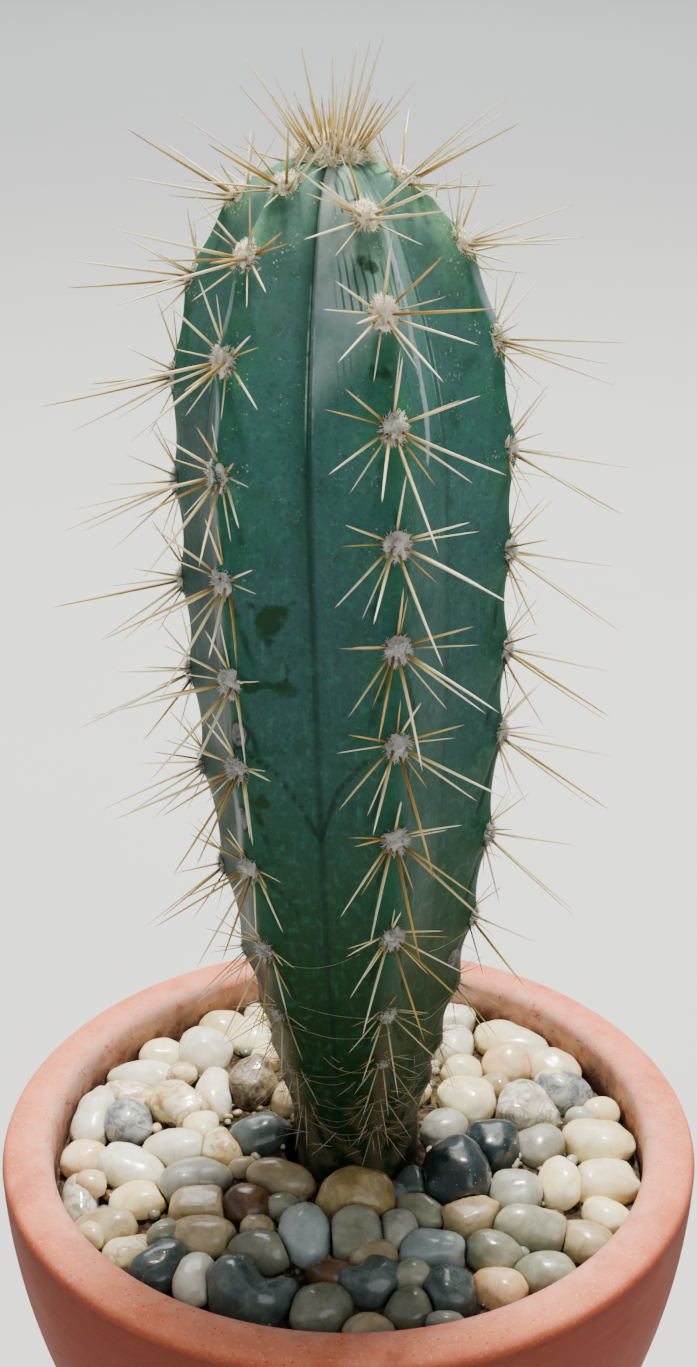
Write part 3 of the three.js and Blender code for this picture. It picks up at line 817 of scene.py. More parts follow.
def skin_ground(look):
    """Dark green at the foot, deep teal in the middle and fresher towards the top, with cloudy mottling, and
    painted light that lightens the top and darkens the foot.
    """
    level = look.mark("level")
    look.base = look.ramp(
        level,
        (0.0, 28, 48, 12),
        (0.12, 26, 52, 14),
        (0.28, 26, 60, 32),
        (0.5, 30, 68, 53),
        (0.72, 34, 74, 62),
        (0.9, 46, 93, 68),
        (1.0, 104, 150, 114),
    )
    # the flanks are bluer than the band along the crest
    wander = look.noise(11, detail=4, distortion=0.3)
    flank = look.plus(look.mark("across"), look.span(wander, 0.3, 0.7, -0.3, 0.3))
    steel = look.mix(colour(38, 68, 67), colour(45, 79, 75), look.span(level, 0.6, 0.84))
    look.paint(steel, look.span(flank, 0.0, 0.5), look.span(level, 0.26, 0.6), 0.84)
    look.paint((22, 55, 34), look.clouds(6, 0.5, 0.7, 0, 0.45, detail=5))
    look.paint((48, 104, 88), look.clouds(1.7, 0.5, 0.72, 0, 0.36, detail=4))
    look.paint((12, 42, 24), look.clouds(0.9, 0.52, 0.7, 0, 0.34))
    pores = look.span(look.cells(1.15), 0.2, 0.08)
    look.paint((8, 34, 18), pores, look.span(wander, 0.4, 0.6, 0.05, 0.4))
    upright = look.stretched(1, 1, 0.16)
    look.paint((54, 104, 92), look.clouds(1.1, 0.55, 0.75, 0, 0.3, place=upright))
    # painted light: the skin is scaled from 0.78 at the foot to 1.8 high up, as light from above falls on
    # the top
    look.dim(look.span(level, 0.12, 0.85, 0.78, 1.8, soft=False))
    # painted shade: faces turned from the light are darkened towards brownish grey, browned like old skin
    look.paint((24, 32, 30), look.mark("old"), look.clouds(9, 0.3, 0.6, 0.7, 1, detail=4))


def skin_bloom(look, below):
    """Pale bloom high up, with dark upright stripes."""
    bloom = look.mark("bloom")
    pale = look.mix(colour(150, 172, 172), colour(196, 214, 206), look.span(look.mark("level"), 0.86, 0.97))
    look.paint(pale, bloom, look.clouds(14, 0.3, 0.62, 0.3, 1, detail=4), 0.88)
    waver = look.times(look.noise(7, detail=2, place=look.stretched(1, 1, 0.3)), 7.0)
    streaks = look.math("SINE", look.plus(look.times(look.mark("beside"), 4.4), waver))
    inner = look.span(look.mark("across"), 0.7, 0.45)
    stripes = look.times(look.span(streaks, 0.3, 0.85), look.span(bloom, 0.1, 0.5), inner)
    look.paint((34, 78, 68), stripes, look.span(below, 0.3, 0.6), 0.8)


def skin_cushions(look, below):
    """A deep green cushion under each areole."""
    under = look.times(look.minus(below, 0.3), 5.0)
    aside = look.times(look.mark("beside"), 0.25)
    reach = look.plus(look.times(under, under), look.times(aside, aside))
    ragged = look.plus(reach, look.times(look.noise(3), 1.4))
    look.paint((22, 70, 36), look.span(ragged, 1.8, 0.6, 0, 0.5))


def skin_furrow_shadows(look, below):
    """Painted shadow lines from both sides of an areole down, as dark furrows, with a greener strip between
    them, and painted shadow along the creases.
    """
    slope = look.plus(look.times(below, 4.6), 0.8)
    bend = look.times(look.minus(look.noise(6), 0.5), 2.6)
    off_slope = look.plus(look.minus(look.mark("beside"), slope), bend)
    look.paint((26, 80, 64), look.span(off_slope, 0.6, -0.6), look.span(below, 0.95, 0.6, 0, 0.36))
    line = look.span(look.math("ABSOLUTE", off_slope), 1.0, 0.15)
    broken_up = look.clouds(5, 0.38, 0.58, 0.25, 1, detail=2)
    fading = look.span(look.mark("level"), 0.5, 0.8, 1, 0.3)
    furrow_and_shade = look.times(line, broken_up, look.span(below, 0.95, 0.6), fading)
    crease = look.plus(look.mark("crease"), look.times(look.noise(3), 0.7))
    furrow_and_shade = look.math("MAXIMUM", furrow_and_shade, look.span(crease, 1.25, 0.5, 0, 0.85))
    # painted shadow: the furrow and crease lines are darkened like the shadows that spines cast
    look.paint((8, 32, 18), furrow_and_shade, 0.8)
    return furrow_and_shade


def skin_grooves(look):
    """Painted shade in each groove, as a dark line and soft darkness towards the deepest, and a painted
    highlight along a thin pale lip high up.
    """
    across = look.mark("across")
    level = look.mark("level")
    groove = look.mark("groove")
    uneven = look.clouds(7, 0.3, 0.6, 0.5, 1)
    # painted shade: a dark line in each groove and soft darkness towards its deepest part
    look.paint((10, 34, 26), look.span(across, 0.91, 0.995), uneven, groove, 0.78)
    deep = look.times(look.span(groove, 0.86, 1.0), look.span(level, 0.5, 0.86, 0.2, 0.72))
    look.paint((14, 56, 34), look.span(across, 0.66, 1.0), deep, uneven)
    # painted highlight: a thin pale line along the groove's edge high up
    lip_highlight = look.times(look.span(across, 0.93, 0.945), look.span(across, 0.97, 0.955))
    high = look.times(look.span(level, 0.76, 0.82), look.span(level, 0.93, 0.88))
    look.paint((150, 186, 172), lip_highlight, high, look.clouds(3, 0.4, 0.55, 0.1, 0.6))


def skin_edges(look):
    """Pale edges along some crests."""
    strip = look.times(look.mark("edge"), look.span(look.mark("beside"), 2.0, 1.0))
    strip = look.times(strip, look.clouds(4, 0.3, 0.5, 0.4, 1, detail=4))
    broad = look.plus(look.mark("broad"), look.clouds(2.4, 0.3, 0.7, -0.16, 0.16, detail=4))
    look.paint((158, 172, 182), look.math("MAXIMUM", strip, look.span(broad, 0.42, 0.72)), 0.78)


def skin_crumbs(look, below):
    """White crumbs, thickest near the areoles and the crown."""
    near = look.span(look.math("ABSOLUTE", look.minus(below, 0.5)), 0.2, 0.5)
    near = look.times(near, look.span(look.mark("beside"), 9, 3), 0.75)
    high = look.span(look.mark("level"), 0.55, 1.0, 0.05, 1)
    dusty = look.times(look.clouds(3, 0.54, 0.62, detail=5), high, look.plus(near, 0.25))
    look.paint((250, 255, 240), look.span(look.cells(0.7), 0.36, 0.12), dusty)


def skin_cork(look):
    """Corky scars and a corky foot."""
    scar = look.mark("scar")
    level = look.mark("level")
    bark = look.mix(colour(112, 112, 112), colour(60, 54, 50), look.clouds(1.2, 0.42, 0.66, detail=4))
    look.paint(bark, look.span(scar, 0.3, 0.5), 0.85)
    look.paint((20, 34, 22), look.span(scar, 0.16, 0.28), look.span(scar, 0.48, 0.36), 0.8)
    foot = look.times(look.span(level, 0.12, 0.0), look.clouds(4, 0.42, 0.6, detail=5))
    crest = look.times(look.span(look.mark("beside"), 2.5, 0.5), look.span(level, 0.3, 0.1), 0.75)
    look.paint((86, 76, 50), look.math("MAXIMUM", foot, crest))


def waxy_skin():
    look = Finish("waxy_skin", roughness=0.55, specular=0.1, coat=0.02, coat_roughness=0.4)
    below = share_below_areole(look)
    skin_ground(look)
    skin_bloom(look, below)
    skin_cushions(look, below)
    furrow_and_shade = skin_furrow_shadows(look, below)
    # water stains
    stain = look.plus(look.mark("stain"), look.clouds(4, 0.3, 0.7, -0.35, 0.35, detail=5))
    look.paint((12, 44, 6), look.span(stain, 0.3, 0.75, 0, 0.8))
    skin_grooves(look)
    skin_edges(look)
    skin_crumbs(look, below)
    skin_cork(look)
    fine = look.bump(look.noise(0.7), 0.12, 0.2)
    soft = look.bump(look.noise(5), 0.2, 0.5, under=fine)
    normal = look.bump(look.minus(1.0, furrow_and_shade), 0.5, 0.4, under=soft)
    return look.done(look.clouds(12, 0.3, 0.7, 0.44, 0.64), normal)


# Wool

def wool():
    look = Finish("areole_wool", roughness=0.95, specular=0.15, sheen=0.35)
    look.base = look.ramp(
        look.mark("level"),
        (0.0, 126, 118, 96),
        (0.2, 164, 160, 146),
        (0.6, 188, 186, 180),
        (0.82, 214, 208, 188),
        (0.9, 255, 242, 210),
        (1.0, 255, 242, 204),
    )
    tufts = look.noise(0.8, detail=4)
    look.paint((92, 80, 62), look.span(tufts, 0.55, 0.74, 0, 0.6))
    look.paint((244, 242, 236), look.span(look.mark("own"), 0.4, 1.0, 0, 0.5))
    return look.done(normal=look.bump(tufts, 0.6, 0.4))


def lump(points, random, share, pitch=3.0, waves=3):
    """Points of a round shape pushed in and out by slow waves."""
    swell = np.ones(len(points))
    for _ in range(waves):
        wave = np.array([random() - 0.5, random() - 0.5, random() - 0.5]) * 2 * pitch
        swell += share * np.sin(points @ wave + random() * 6.3)
    return points * swell[:, None]


def along(shape_points, root, direction, length, radius, bend=None):
    """A thin upright shape laid from a root along a direction, bent sideways by a share of its length."""
    turn = np.array(Vector((0, 0, 1)).rotation_difference(direction).to_matrix())
    points = shape_points * [radius, radius, length]
    if bend is not None:
        share = shape_points[:, 2:3]
        points = points + share * share * np.array([bend[0], bend[1], 0]) * length
    return points @ turn.T + np.array(root)


def make_wool(material, ball, hair):
    random = draws(31)
    felt = Heap()
    fuzz = Heap()
    for seat in SEATS:
        level = seat.h / STEM_TOP
        size = 0.46 + 0.54 * ease(seat.h / 78)
        half = np.array(PAD_HALF) * size
        points = lump(ball[0], random, share=0.06, pitch=8.0, waves=8) * half
        points[:, 0] *= 1 + 0.07 * points[:, 1]  # narrower towards its lower end
        centre = seat.at + seat.face * (AREOLE_PROUD - PAD_HALF[2])
        turned = points @ np.array([seat.side, seat.up, seat.face]) + np.array(centre)
        felt.add(turned, ball[1], level=level, own=0.3)
        for _ in range(HAIRS_PER_PAD):
            turn = random() * 2 * math.pi
            lean = 1.7 * math.sqrt(random())
            flat = seat.side * math.sin(turn) * half[0] + seat.up * math.cos(turn) * half[1]
            root = centre + (seat.face * math.cos(lean) * half[2] + flat * math.sin(lean)) * 0.93
            direction = ((root - centre).normalized() + stray(random) * 1.6).normalized()
            points = along(hair[0], root, direction, (0.5 + 0.95 * random()) * size, PAD_HAIR_RADIUS)
            fuzz.add(points, hair[1], level=level, own=random())
    seat_piece(felt.piece("areole_felt", material), "cactus_skin")
    seat_piece(fuzz.piece("areole_wool", material), "cactus_skin")


# Spines

def horn():
    look = Finish("straw_spines", roughness=0.36, specular=0.5, coat=0.2, coat_roughness=0.25)
    up = look.mark("along")
    # both ramps are dark at the base: partly the spines' own brown, partly painted shade where the stem
    # shades them near the skin
    pale = look.ramp(
        up,
        (0.0, 100, 80, 36),
        (0.14, 158, 132, 66),
        (0.34, 238, 220, 152),
        (0.9, 254, 250, 220),
        (1.0, 222, 190, 112),
    )
    golden = look.ramp(up, (0.0, 82, 62, 24), (0.3, 148, 110, 28), (0.75, 212, 174, 64), (1.0, 122, 88, 38))
    look.base = look.mix(pale, golden, look.span(look.mark("own"), 0.42, 0.85))
    look.paint((126, 112, 72), look.span(look.mark("level"), 0.34, 0.12, 0, 0.75))
    look.paint((170, 124, 60), look.clouds(1.4, 0.54, 0.8, 0, 0.35, detail=2))
    return look.done()


def spine_direction(seat, turn, open_deg, droop):
    flat = seat.side * math.sin(turn) - seat.up * math.cos(turn)
    aim = seat.face * math.cos(open_deg * RAD) + flat * math.sin(open_deg * RAD)
    return flat, (Quaternion(seat.side, droop) @ aim).normalized()


def fan_habit(h):
    """How much a fan of spines hangs at a height, the size of its spines and how thick they are."""
    droop = 22 * ease((90 - h) / 80) * RAD
    size = 0.35 + 0.65 * ease(h / 95) - 0.1 * ease((h - 170) / 40)
    girth = 0.26 + 0.74 * ease(h / 95)
    return droop, size, girth


def clear_length(root, direction, length):
    """A spine's length, cut where it would reach into the stones."""
    if root.z + direction.z * length < LOWEST_TIP:
        return (root.z - LOWEST_TIP) / -direction.z
    return length


def make_spines(material, spine):
    random = draws(11)
    other = draws(12)
    heap = Heap()

    def add(seat, root, direction, length, radius):
        cut = clear_length(root, direction, length)
        if cut < SHORTEST or direction.dot(seat.face) < 0.1:
            return
        bend = sway(other, SPINE_SWAY)
        points = along(spine[0], root, direction, min(cut, length) + SPINE_SUNK, radius, bend)
        heap.add(points, spine[1], along=spine[0][:, 2], own=other(), level=seat.h / STEM_TOP)

    for seat in SEATS:
        droop, size, girth = fan_habit(seat.h)
        for i in range(CENTRALS + RADIALS):
            central = i < CENTRALS
            middle = (CENTRALS - 1) / 2
            round_deg = (i - middle) * CENTRAL_STEP if central else (i - CENTRALS + 1) * RADIAL_STEP
            turn = (round_deg + TURN_PLAY * (random() - 0.5)) * RAD
            open_deg = (CENTRAL_OPEN if central else RADIAL_OPEN) + OPEN_PLAY * (random() - 0.5)
            low = (1 + math.cos(turn)) / 2
            full = CENTRAL_LONG if central else RADIAL_SHORT + (RADIAL_LONG - RADIAL_SHORT) * low
            length = (full + LONG_PLAY * (random() - 0.5)) * size
            aside, over = CENTRAL_ROOT if central else RADIAL_ROOT
            flat, direction = spine_direction(seat, turn, open_deg, droop)
            root = seat.at + seat.face * over + flat * aside - direction * SPINE_SUNK
            add(seat, root, direction, length, SPINE_RADIUS * girth * (1 if central else 0.84))
        for i in range(FINE_SPINES):
            turn = (FINE_STEP * (i + 0.4) + 30 * (other() - 0.5)) * RAD
            open_deg = 66 + 14 * other()
            length = (8 + 5 * other()) * size
            flat, direction = spine_direction(seat, turn, open_deg, droop * 0.7)
            root = seat.at + seat.face * -0.4 + flat * 2.1 - direction * SPINE_SUNK
            add(seat, root, direction, length, FINE_RADIUS * girth)
    seat_piece(heap.piece("spines", material), "cactus_skin")


# Crown

CROWN_CENTRE = axis_at(STEM_TOP)


def make_crown_wool(other, material, ball, fibre):
    wad = Heap()
    half = np.array([WOOL_RADIUS * 0.74, WOOL_RADIUS * 0.74, WOOL_HEIGHT * 0.8])
    points = lump(ball[0], other, share=0.05, pitch=9.0, waves=8) * half
    wad.add(points + np.array(CROWN_CENTRE), ball[1], level=1.0, own=0.4)
    for _ in range(CROWN_HAIRS):
        out = outward(other() * 2 * math.pi)
        share = min(1.0, math.sqrt(other() * 1.25))
        lift = WOOL_HEIGHT * 0.8 * math.sqrt(1 - share * share) - 0.5 - 0.8 * other() * share
        uneven = 0.72 + 0.34 * noise.noise(out * 2.6) + 0.12 * other()
        root = CROWN_CENTRE + out * share * WOOL_RADIUS * uneven + Vector((0, 0, lift))
        direction = (out * 1.3 * share * share + Vector((0, 0, 0.7)) + stray(other) * 1.3).normalized()
        bend = sway(other, 0.9)
        points = along(fibre[0], root, direction, 1.0 + 2.0 * other(), CROWN_HAIR_RADIUS, bend)
        wad.add(points, fibre[1], level=1.0, own=other())
    seat_piece(wad.piece("crown_wool", material), "crown_wool", "crown_tuft")


def make_crown_spines(other, material, spine):
    random = draws(23)
    tuft = Heap()

    def add(root, out, lean, length, radius, own, bend=None):
        direction = out * math.sin(lean) + Vector((0, 0, math.cos(lean)))
        points = along(spine[0], root, direction, length, radius, bend)
        tuft.add(points, spine[1], along=spine[0][:, 2], own=own, level=1.0)

    for i in range(CROWN_SPINES):
        out = outward(i * GOLDEN_TURN)
        share = math.sqrt((i + 0.5) / CROWN_SPINES)
        lean = (3 + 30 * share + 10 * random()) * RAD
        long = i % 3 == 0
        length = (CROWN_LONG if long else CROWN_SHORT) + CROWN_PLAY * random()
        bend = sway(other, SPINE_SWAY)
        own = 0.5 * other() + (0.1 if long else 0.5)
        radius = SPINE_RADIUS * (1.2 if long else 0.75)
        add(CROWN_CENTRE + out * 5 * share, out, lean, length, radius, own, bend)
    for i in range(YOUNG_SPINES):
        out = outward(i * GOLDEN_TURN + 0.4)
        share = math.sqrt((i + 0.5) / YOUNG_SPINES)
        lean = (34 * share + 16 * other()) * RAD
        root = CROWN_CENTRE + out * 5.8 * share + Vector((0, 0, 1))
        length = 6 + 5 * other()
        add(root, out, lean, length, YOUNG_RADIUS, 0.7 + 0.3 * other())
    seat_piece(tuft.piece("crown_spines", material), "crown_wool")


# Threads and hairs round the foot of the stem

def skin_spot(deg, h, proud):
    return outward(deg * RAD) * (skin_radius(h, deg) + proud) + axis_at(h)


def thread(path, radius):
    """A closed three-sided tube along a path of points."""
    points = []
    for i, spot in enumerate(path):
        step = (path[min(i + 1, len(path) - 1)] - path[max(i - 1, 0)]).normalized()
        side = step.cross(Vector((0, 0, 1))).normalized()
        over = side.cross(step)
        for k in range(3):
            turn = k * 2 * math.pi / 3
            points.append(spot + (side * math.cos(turn) + over * math.sin(turn)) * radius)
    faces = [(2, 1, 0)]
    last = 3 * (len(path) - 1)
    for i in range(0, last, 3):
        faces += [(i + k, i + (k + 1) % 3, i + 3 + (k + 1) % 3, i + 3 + k) for k in range(3)]
    faces.append((last, last + 1, last + 2))
    return [list(p) for p in points], faces


def silver_hair():
    look = Finish("silver_hair", roughness=0.45, specular=0.4)
    look.base = look.mix(colour(132, 128, 100), colour(196, 190, 166), look.mark("own"))
    look.paint((96, 82, 48), look.clouds(3, 0.52, 0.66, 0, 0.7, detail=2))
    return look.done()


def make_foot_hairs(material, spine):
    random = draws(41)
    heap = Heap()
    for rib in range(RIBS):
        start_deg = FIRST_RIB_DEG + rib * 360 / RIBS
        for rank, h in enumerate(areoles_of(rib)[:4]):
            for way in (-1, 1):
                for _ in range(2 if rank < 2 else 1):
                    reach = way * (30 + 36 * random())
                    sag = 0.5 + 4 * random()
                    end_h = h + 6 * random() - 3
                    proud = 0.5 + 1.2 * random()
                    path = []
                    for step in range(THREAD_STEPS + 1):
                        share = step / THREAD_STEPS
                        hang = sag * 4 * share * (1 - share)
                        level = max(2, h + (end_h - h) * share - hang)
                        path.append(skin_spot(start_deg + reach * share, level, proud))
                    points, faces = thread(path, THREAD_RADIUS)
                    heap.add(points, faces, own=random())
    for _ in range(FOOT_HAIRS):
        deg = 360 * random()
        h = 2 + 30 * random() ** 1.4
        out = outward(deg * RAD)
        side = Vector((0, 0, 1)).cross(out)
        aim = out * (0.35 + 0.6 * random()) + side * (1.8 * random() - 0.9)
        aim += Vector((0, 0, 0.8 * random() - 0.25))
        bend = sway(random, 0.5)
        root = skin_spot(deg, h, -0.2)
        points = along(spine[0], root, aim.normalized(), 3 + 5 * random(), FOOT_HAIR_RADIUS, bend)
        heap.add(points, spine[1], own=random())
    seat_piece(heap.piece("foot_hairs", material), "cactus_skin")


# Stones: name, place x and y, length, width, thickness and turn in degrees, and finish

BRIGHT_STONES = [
    ["stone_blue_black", 21, -15, 18, 15, 16, 80, "black"],
    ["stone_near_black", 34, 0, 14, 12, 11, 90, "black"],
    ["stone_slate_left", -33, -39, 14, 11, 10, 50, "slate"],
    ["stone_slate_big", -18, -42, 20, 15, 13, -25, "slate"],
    ["stone_slate_front", 2, -45, 14, 12, 10, 10, "slate"],
    ["stone_mottled", -51, 11, 13, 12, 10, 90, "mottled"],
    ["stone_amber", 2, -10, 17, 13, 14, 5, "amber"],
    ["stone_brown", -24, -21, 11, 10, 9, -30, "brown"],
    ["stone_rough_brown", -24, 22, 17, 12, 12, 80, "rough"],
    ["stone_peach", 37, 31, 13, 12, 11, 90, "peach"],
]
PALE_STONES = [
    ["cream_back", -34, 57, 13, 11, 8, 0, "ivory"],
    ["cream_stem_side", -24, 60, 11, 8, 7, 90, "ivory"],
    ["white_behind", -25, 46, 13, 11, 9, 90, "ivory"],
    ["white_large", -37, 38, 16, 14, 12, 90, "white"],
    ["cream_round", -49, 44, 12, 11, 9, 0, "ivory"],
    ["white_long", -48, 29, 17, 9, 8, -9, "white"],
    ["white_lower", -31, 19, 18, 9, 9, 90, "white"],
    ["cream_patchy", -46, 18, 15, 9, 7, -9, "patchy"],
    ["white_upright", -64, 14, 19, 10, 10, 85, "white"],
    ["cream_wedge", -39, 17, 18, 10, 9, 154, "patchy"],
    ["cream_pair_left", -32, 3, 11, 8, 7, 90, "ivory"],
    ["cream_pair_right", -30, 1, 13, 9, 8, 90, "patchy"],
    ["white_middle", -41, -2, 16, 11, 9, -20, "white"],
    ["white_grey", -47, -3, 16, 11, 9, -24, "white"],
    ["grey_long", -34, -12, 17, 11, 9, 31, "dove"],
    ["cream_left", -46, -20, 13, 10, 8, 0, "ivory"],
    ["cream_tan", -48, -22, 14, 10, 8, 0, "sand"],
    ["crystal_white", -61, -17, 15, 8, 8, 95, "quartz"],
    ["cream_front_left", -45, -33, 13, 10, 8, 30, "patchy"],
    ["tan_square", -28, -24, 12, 10, 8, 0, "sand"],
    ["tan_olive", -30, -29, 15, 11, 9, 0, "sand"],
    ["white_tall", -31, -40, 15, 9, 9, 90, "white"],
    ["olive_behind", -17, -37, 15, 10, 9, -30, "olive"],
    ["white_blue", -10, -32, 17, 12, 11, 95, "bluish"],
    ["olive_round", 3, -29, 15, 12, 11, 85, "olive"],
    ["grey_olive", -9, -47, 13, 12, 10, 0, "olive"],
    ["olive_front", 12, -50, 11, 10, 9, 90, "olive"],
    ["tan_thin", 14, -23, 13, 8, 6, -43, "olive"],
    ["grey_small", 10, -30, 11, 9, 8, 90, "dove"],
    ["white_blue_right", 17, -33, 14, 9, 9, 0, "bluish"],
    ["grey_oval", 29, -34, 13, 10, 9, 0, "olive"],
    ["tan_block", 25, -23, 12, 10, 9, 40, "sand"],
    ["grey_near_stem", 21, 4, 11, 11, 9, 0, "dove"],
    ["cream_top", 26, 31, 10, 9, 8, 0, "ivory"],
    ["cream_large_back", 27, 16, 15, 14, 11, 90, "ivory"],
    ["white_right_back", 25, 40, 16, 11, 10, 90, "white"],
    ["white_right_top", 29, 59, 14, 13, 10, 90, "white"],
    ["cream_wide", 45, 48, 20, 12, 9, -26, "ivory"],
    ["cream_yellow", 50, 34, 15, 12, 9, -39, "ivory"],
    ["quartz", 42, 15, 14, 13, 11, 32, "quartz"],
    ["cream_far_right", 57, 18, 9, 8, 8, 0, "ivory"],
    ["cream_big", 62, 4, 18, 14, 11, -24, "ivory"],
    ["grey_strip", 40, 1, 12, 10, 8, 31, "dove"],
    ["cream_long", 61, -12, 17, 11, 9, 16, "ivory"],
    ["cream_upright", 43, -13, 14, 10, 10, 90, "ivory"],
    ["grey_cream", 38, -15, 13, 12, 10, 90, "dove"],
    ["olive_large", 44, -30, 18, 11, 10, 0, "olive"],
    ["olive_low", 40, -40, 13, 10, 9, 0, "olive"],
    ["cream_right_low", 53, -34, 14, 10, 9, 138, "sand"],
    ["cream_right_edge", 61, -24, 11, 8, 8, 133, "ivory"],
    ["white_behind_stem", 6, 34, 15, 12, 10, 15, "white"],
    ["cream_behind_stem", -9, 42, 14, 11, 9, 60, "ivory"],
    ["cream_back_wall", -7, 58, 15, 11, 9, 5, "ivory"],
    ["white_back_wall", 11, 56, 14, 12, 10, 160, "white"],
    ["tan_behind_stem", 13, 45, 12, 10, 9, 100, "sand"],
    ["grey_behind_stem", -7, 26, 13, 10, 9, 20, "dove"],
    ["slate_shaded", 9, -8, 10, 9, 7, 90, "slate"],
    ["slate_behind", -13, 1, 15, 11, 9, 20, "slate"],
    ["slate_right", 22, -46, 12, 11, 10, 90, "slate"],
    ["tan_long", -8, -9, 16, 10, 9, -13, "sand"],
    ["peach_front", 28, -45, 12, 10, 9, -20, "peach"],
    ["orange_left", -59, -4, 12, 10, 9, 0, "peach"],
    ["grey_right", 50, 18, 15, 12, 11, -30, "mottled"],
    ["cream_behind_right", 12, 21, 15, 13, 10, 30, "ivory"],
    ["white_behind_middle", 2, 48, 12, 11, 9, 0, "white"],
    ["tan_behind_left", -12, 17, 12, 10, 8, 60, "sand"],
    ["cream_behind_left", -18, 35, 10, 9, 8, 0, "ivory"],
    ["tan_front", 4, -57, 11, 8, 8, 0, "sand"],
]
SETTLE_ROUNDS = 60
FALL = 0.5
LIFT = 0.35
HOLD = 0.3
FULL = 1.04
CLOSE = 0.9
UNEVEN = 0.035
SINK = 0.3
CREASE_GAP = 0.04  # clear share of a stone's half size where two stones meet
STONE_ROLL = 30
STONE_PITCH = 24

# Chips that fill the gaps: place x and y, length, width, thickness, turn in degrees, and finish
CHIPS = [
    [-57, 20, 7, 6, 5, 10, "white"],
    [-55, -13, 7, 6, 5, 0, "peach"],
    [-23, -8, 7, 5, 5, 20, "sand"],
    [-20, -13, 9, 6, 5, -30, "bluish"],
    [-19, -28, 8, 7, 6, 0, "sand"],
    [5, -37, 10, 8, 7, 10, "sand"],
    [-4, -42, 9, 6, 6, -10, "brown"],
    [13, -43, 9, 8, 7, 30, "olive"],
    [19, -56, 8, 5, 5, 0, "dove"],
    [46, 2, 9, 7, 6, 80, "white"],
    [-14, -21, 8, 6, 6, 15, "olive"],
    [33, -26, 8, 6, 6, 60, "slate"],
    [52, -22, 8, 6, 6, 20, "olive"],
    [34, 22, 8, 6, 6, 120, "sand"],
    [-38, -30, 8, 6, 6, 40, "olive"],
    [-53, -30, 7, 5, 5, 130, "ivory"],
    [10, -17, 8, 6, 6, 0, "slate"],
    [52, 10, 7, 6, 6, 0, "dove"],
    [-39, 27, 8, 6, 6, 30, "patchy"],
    [0, 24, 8, 6, 6, 0, "sand"],
    [20, 51, 8, 6, 6, 50, "ivory"],
]
CHIP_DEPTH = 6
GRAINS = 500
GRIT_REACH = 62
# How square a stone is, when it isn't rounded like the others
SQUARE = {"tan_block": 6.0, "tan_square": 4.5, "white_blue_right": 3.2, "cream_wedge": 3.2, "quartz": 3.0}
# Stones with a hollow in one side: where along them it lies, how wide it is and how deep
HOLLOWS = {"stone_slate_big": (0.12, 0.36, 0.48), "stone_slate_front": (-0.3, 0.34, 0.42)}


def bed_top(r):
    return BED_AT_STEM + (BED_AT_WALL - BED_AT_STEM) * clamp01((r - FOOT_RADIUS) / (60 - FOOT_RADIUS))


class Stone:
    def __init__(self, row, random):
        self.name, self.x, self.y, long, wide, thick, turn, self.finish = row
        self.home = (self.x, self.y)
        self.z = bed_top(math.hypot(self.x, self.y)) + thick / 4
        self.half = [size * FULL / 2 for size in (long, wide, thick)]
        self.cos = math.cos(turn * RAD)
        self.sin = math.sin(turn * RAD)
        self.waves = [
            [random() * 4 - 2, random() * 4 - 2, random() * 4 - 2, random() * 6.3] for _ in range(3)
        ]

    def reach(self, dx, dy, dz):
        """Distance from the stone's middle to its surface along a direction."""
        lengthways = (dx * self.cos + dy * self.sin) / self.half[0]
        across = (dy * self.cos - dx * self.sin) / self.half[1]
        high = dz / self.half[2]
        return CLOSE / math.sqrt(lengthways * lengthways + across * across + high * high)


def push_apart(a, b):
    dx, dy, dz = b.x - a.x, b.y - a.y, b.z - a.z
    far = math.sqrt(dx * dx + dy * dy + dz * dz)
    if far > a.half[0] + b.half[0]:
        return
    nx, ny, nz = dx / far, dy / far, dz / far
    push = (a.reach(nx, ny, nz) + b.reach(nx, ny, nz) - far) / 2
    if push > 0:
        a.x -= nx * push
        a.y -= ny * push
        a.z -= nz * push * LIFT
        b.x += nx * push
        b.y += ny * push
        b.z += nz * push * LIFT


def keep_inside(s):
    """Holds a stone clear of the pot's wall, the stem and the gravel."""
    far = math.hypot(s.x, s.y)
    most = inside_radius(s.z) - STONE_CLEAR - s.reach(s.x / far, s.y / far, 0)
    if far > most:
        s.x *= most / far
        s.y *= most / far
    sx, sy = s.x - AXIS_AT_RIM, s.y
    near = math.hypot(sx, sy)
    least = FOOT_RADIUS + STONE_CLEAR + s.reach(sx / near, sy / near, 0)
    if near < least:
        s.x = AXIS_AT_RIM + sx * least / near
        s.y = sy * least / near
    s.z = max(s.z, bed_top(math.hypot(s.x, s.y)) + SINK * s.half[2])


def settled_stones():
    random = draws(7)
    stones = [Stone(row, random) for row in BRIGHT_STONES + PALE_STONES]
    for _ in range(SETTLE_ROUNDS):
        for s in stones:
            s.z -= FALL
            s.x += HOLD * (s.home[0] - s.x)
            s.y += HOLD * (s.home[1] - s.y)
        for i, a in enumerate(stones):
            for b in stones[i + 1:]:
                push_apart(a, b)
        for s in stones:
            keep_inside(s)
    return stones


def shaped_egg(ball, half, random, square, taper, rough):
    """Points of a pebble: an egg made a little square, narrower to one end, and uneven."""
    corners = (np.abs(ball) ** square).sum(axis=1) ** (-1 / square)
    egg = ball * corners[:, None]
    egg[:, 1] *= 1 + taper * egg[:, 0]
    egg[:, 2] *= 1 - 0.6 * taper * egg[:, 0]
    egg = egg * np.array(half)
    shift = Vector((random() * 90, random() * 90, random() * 90))
    bumps = [noise.noise(Vector(p) / 6 + shift) + 0.4 * noise.noise(Vector(p) / 2.4 + shift) for p in egg]
    return egg * (1 + rough * np.array(bumps))[:, None]


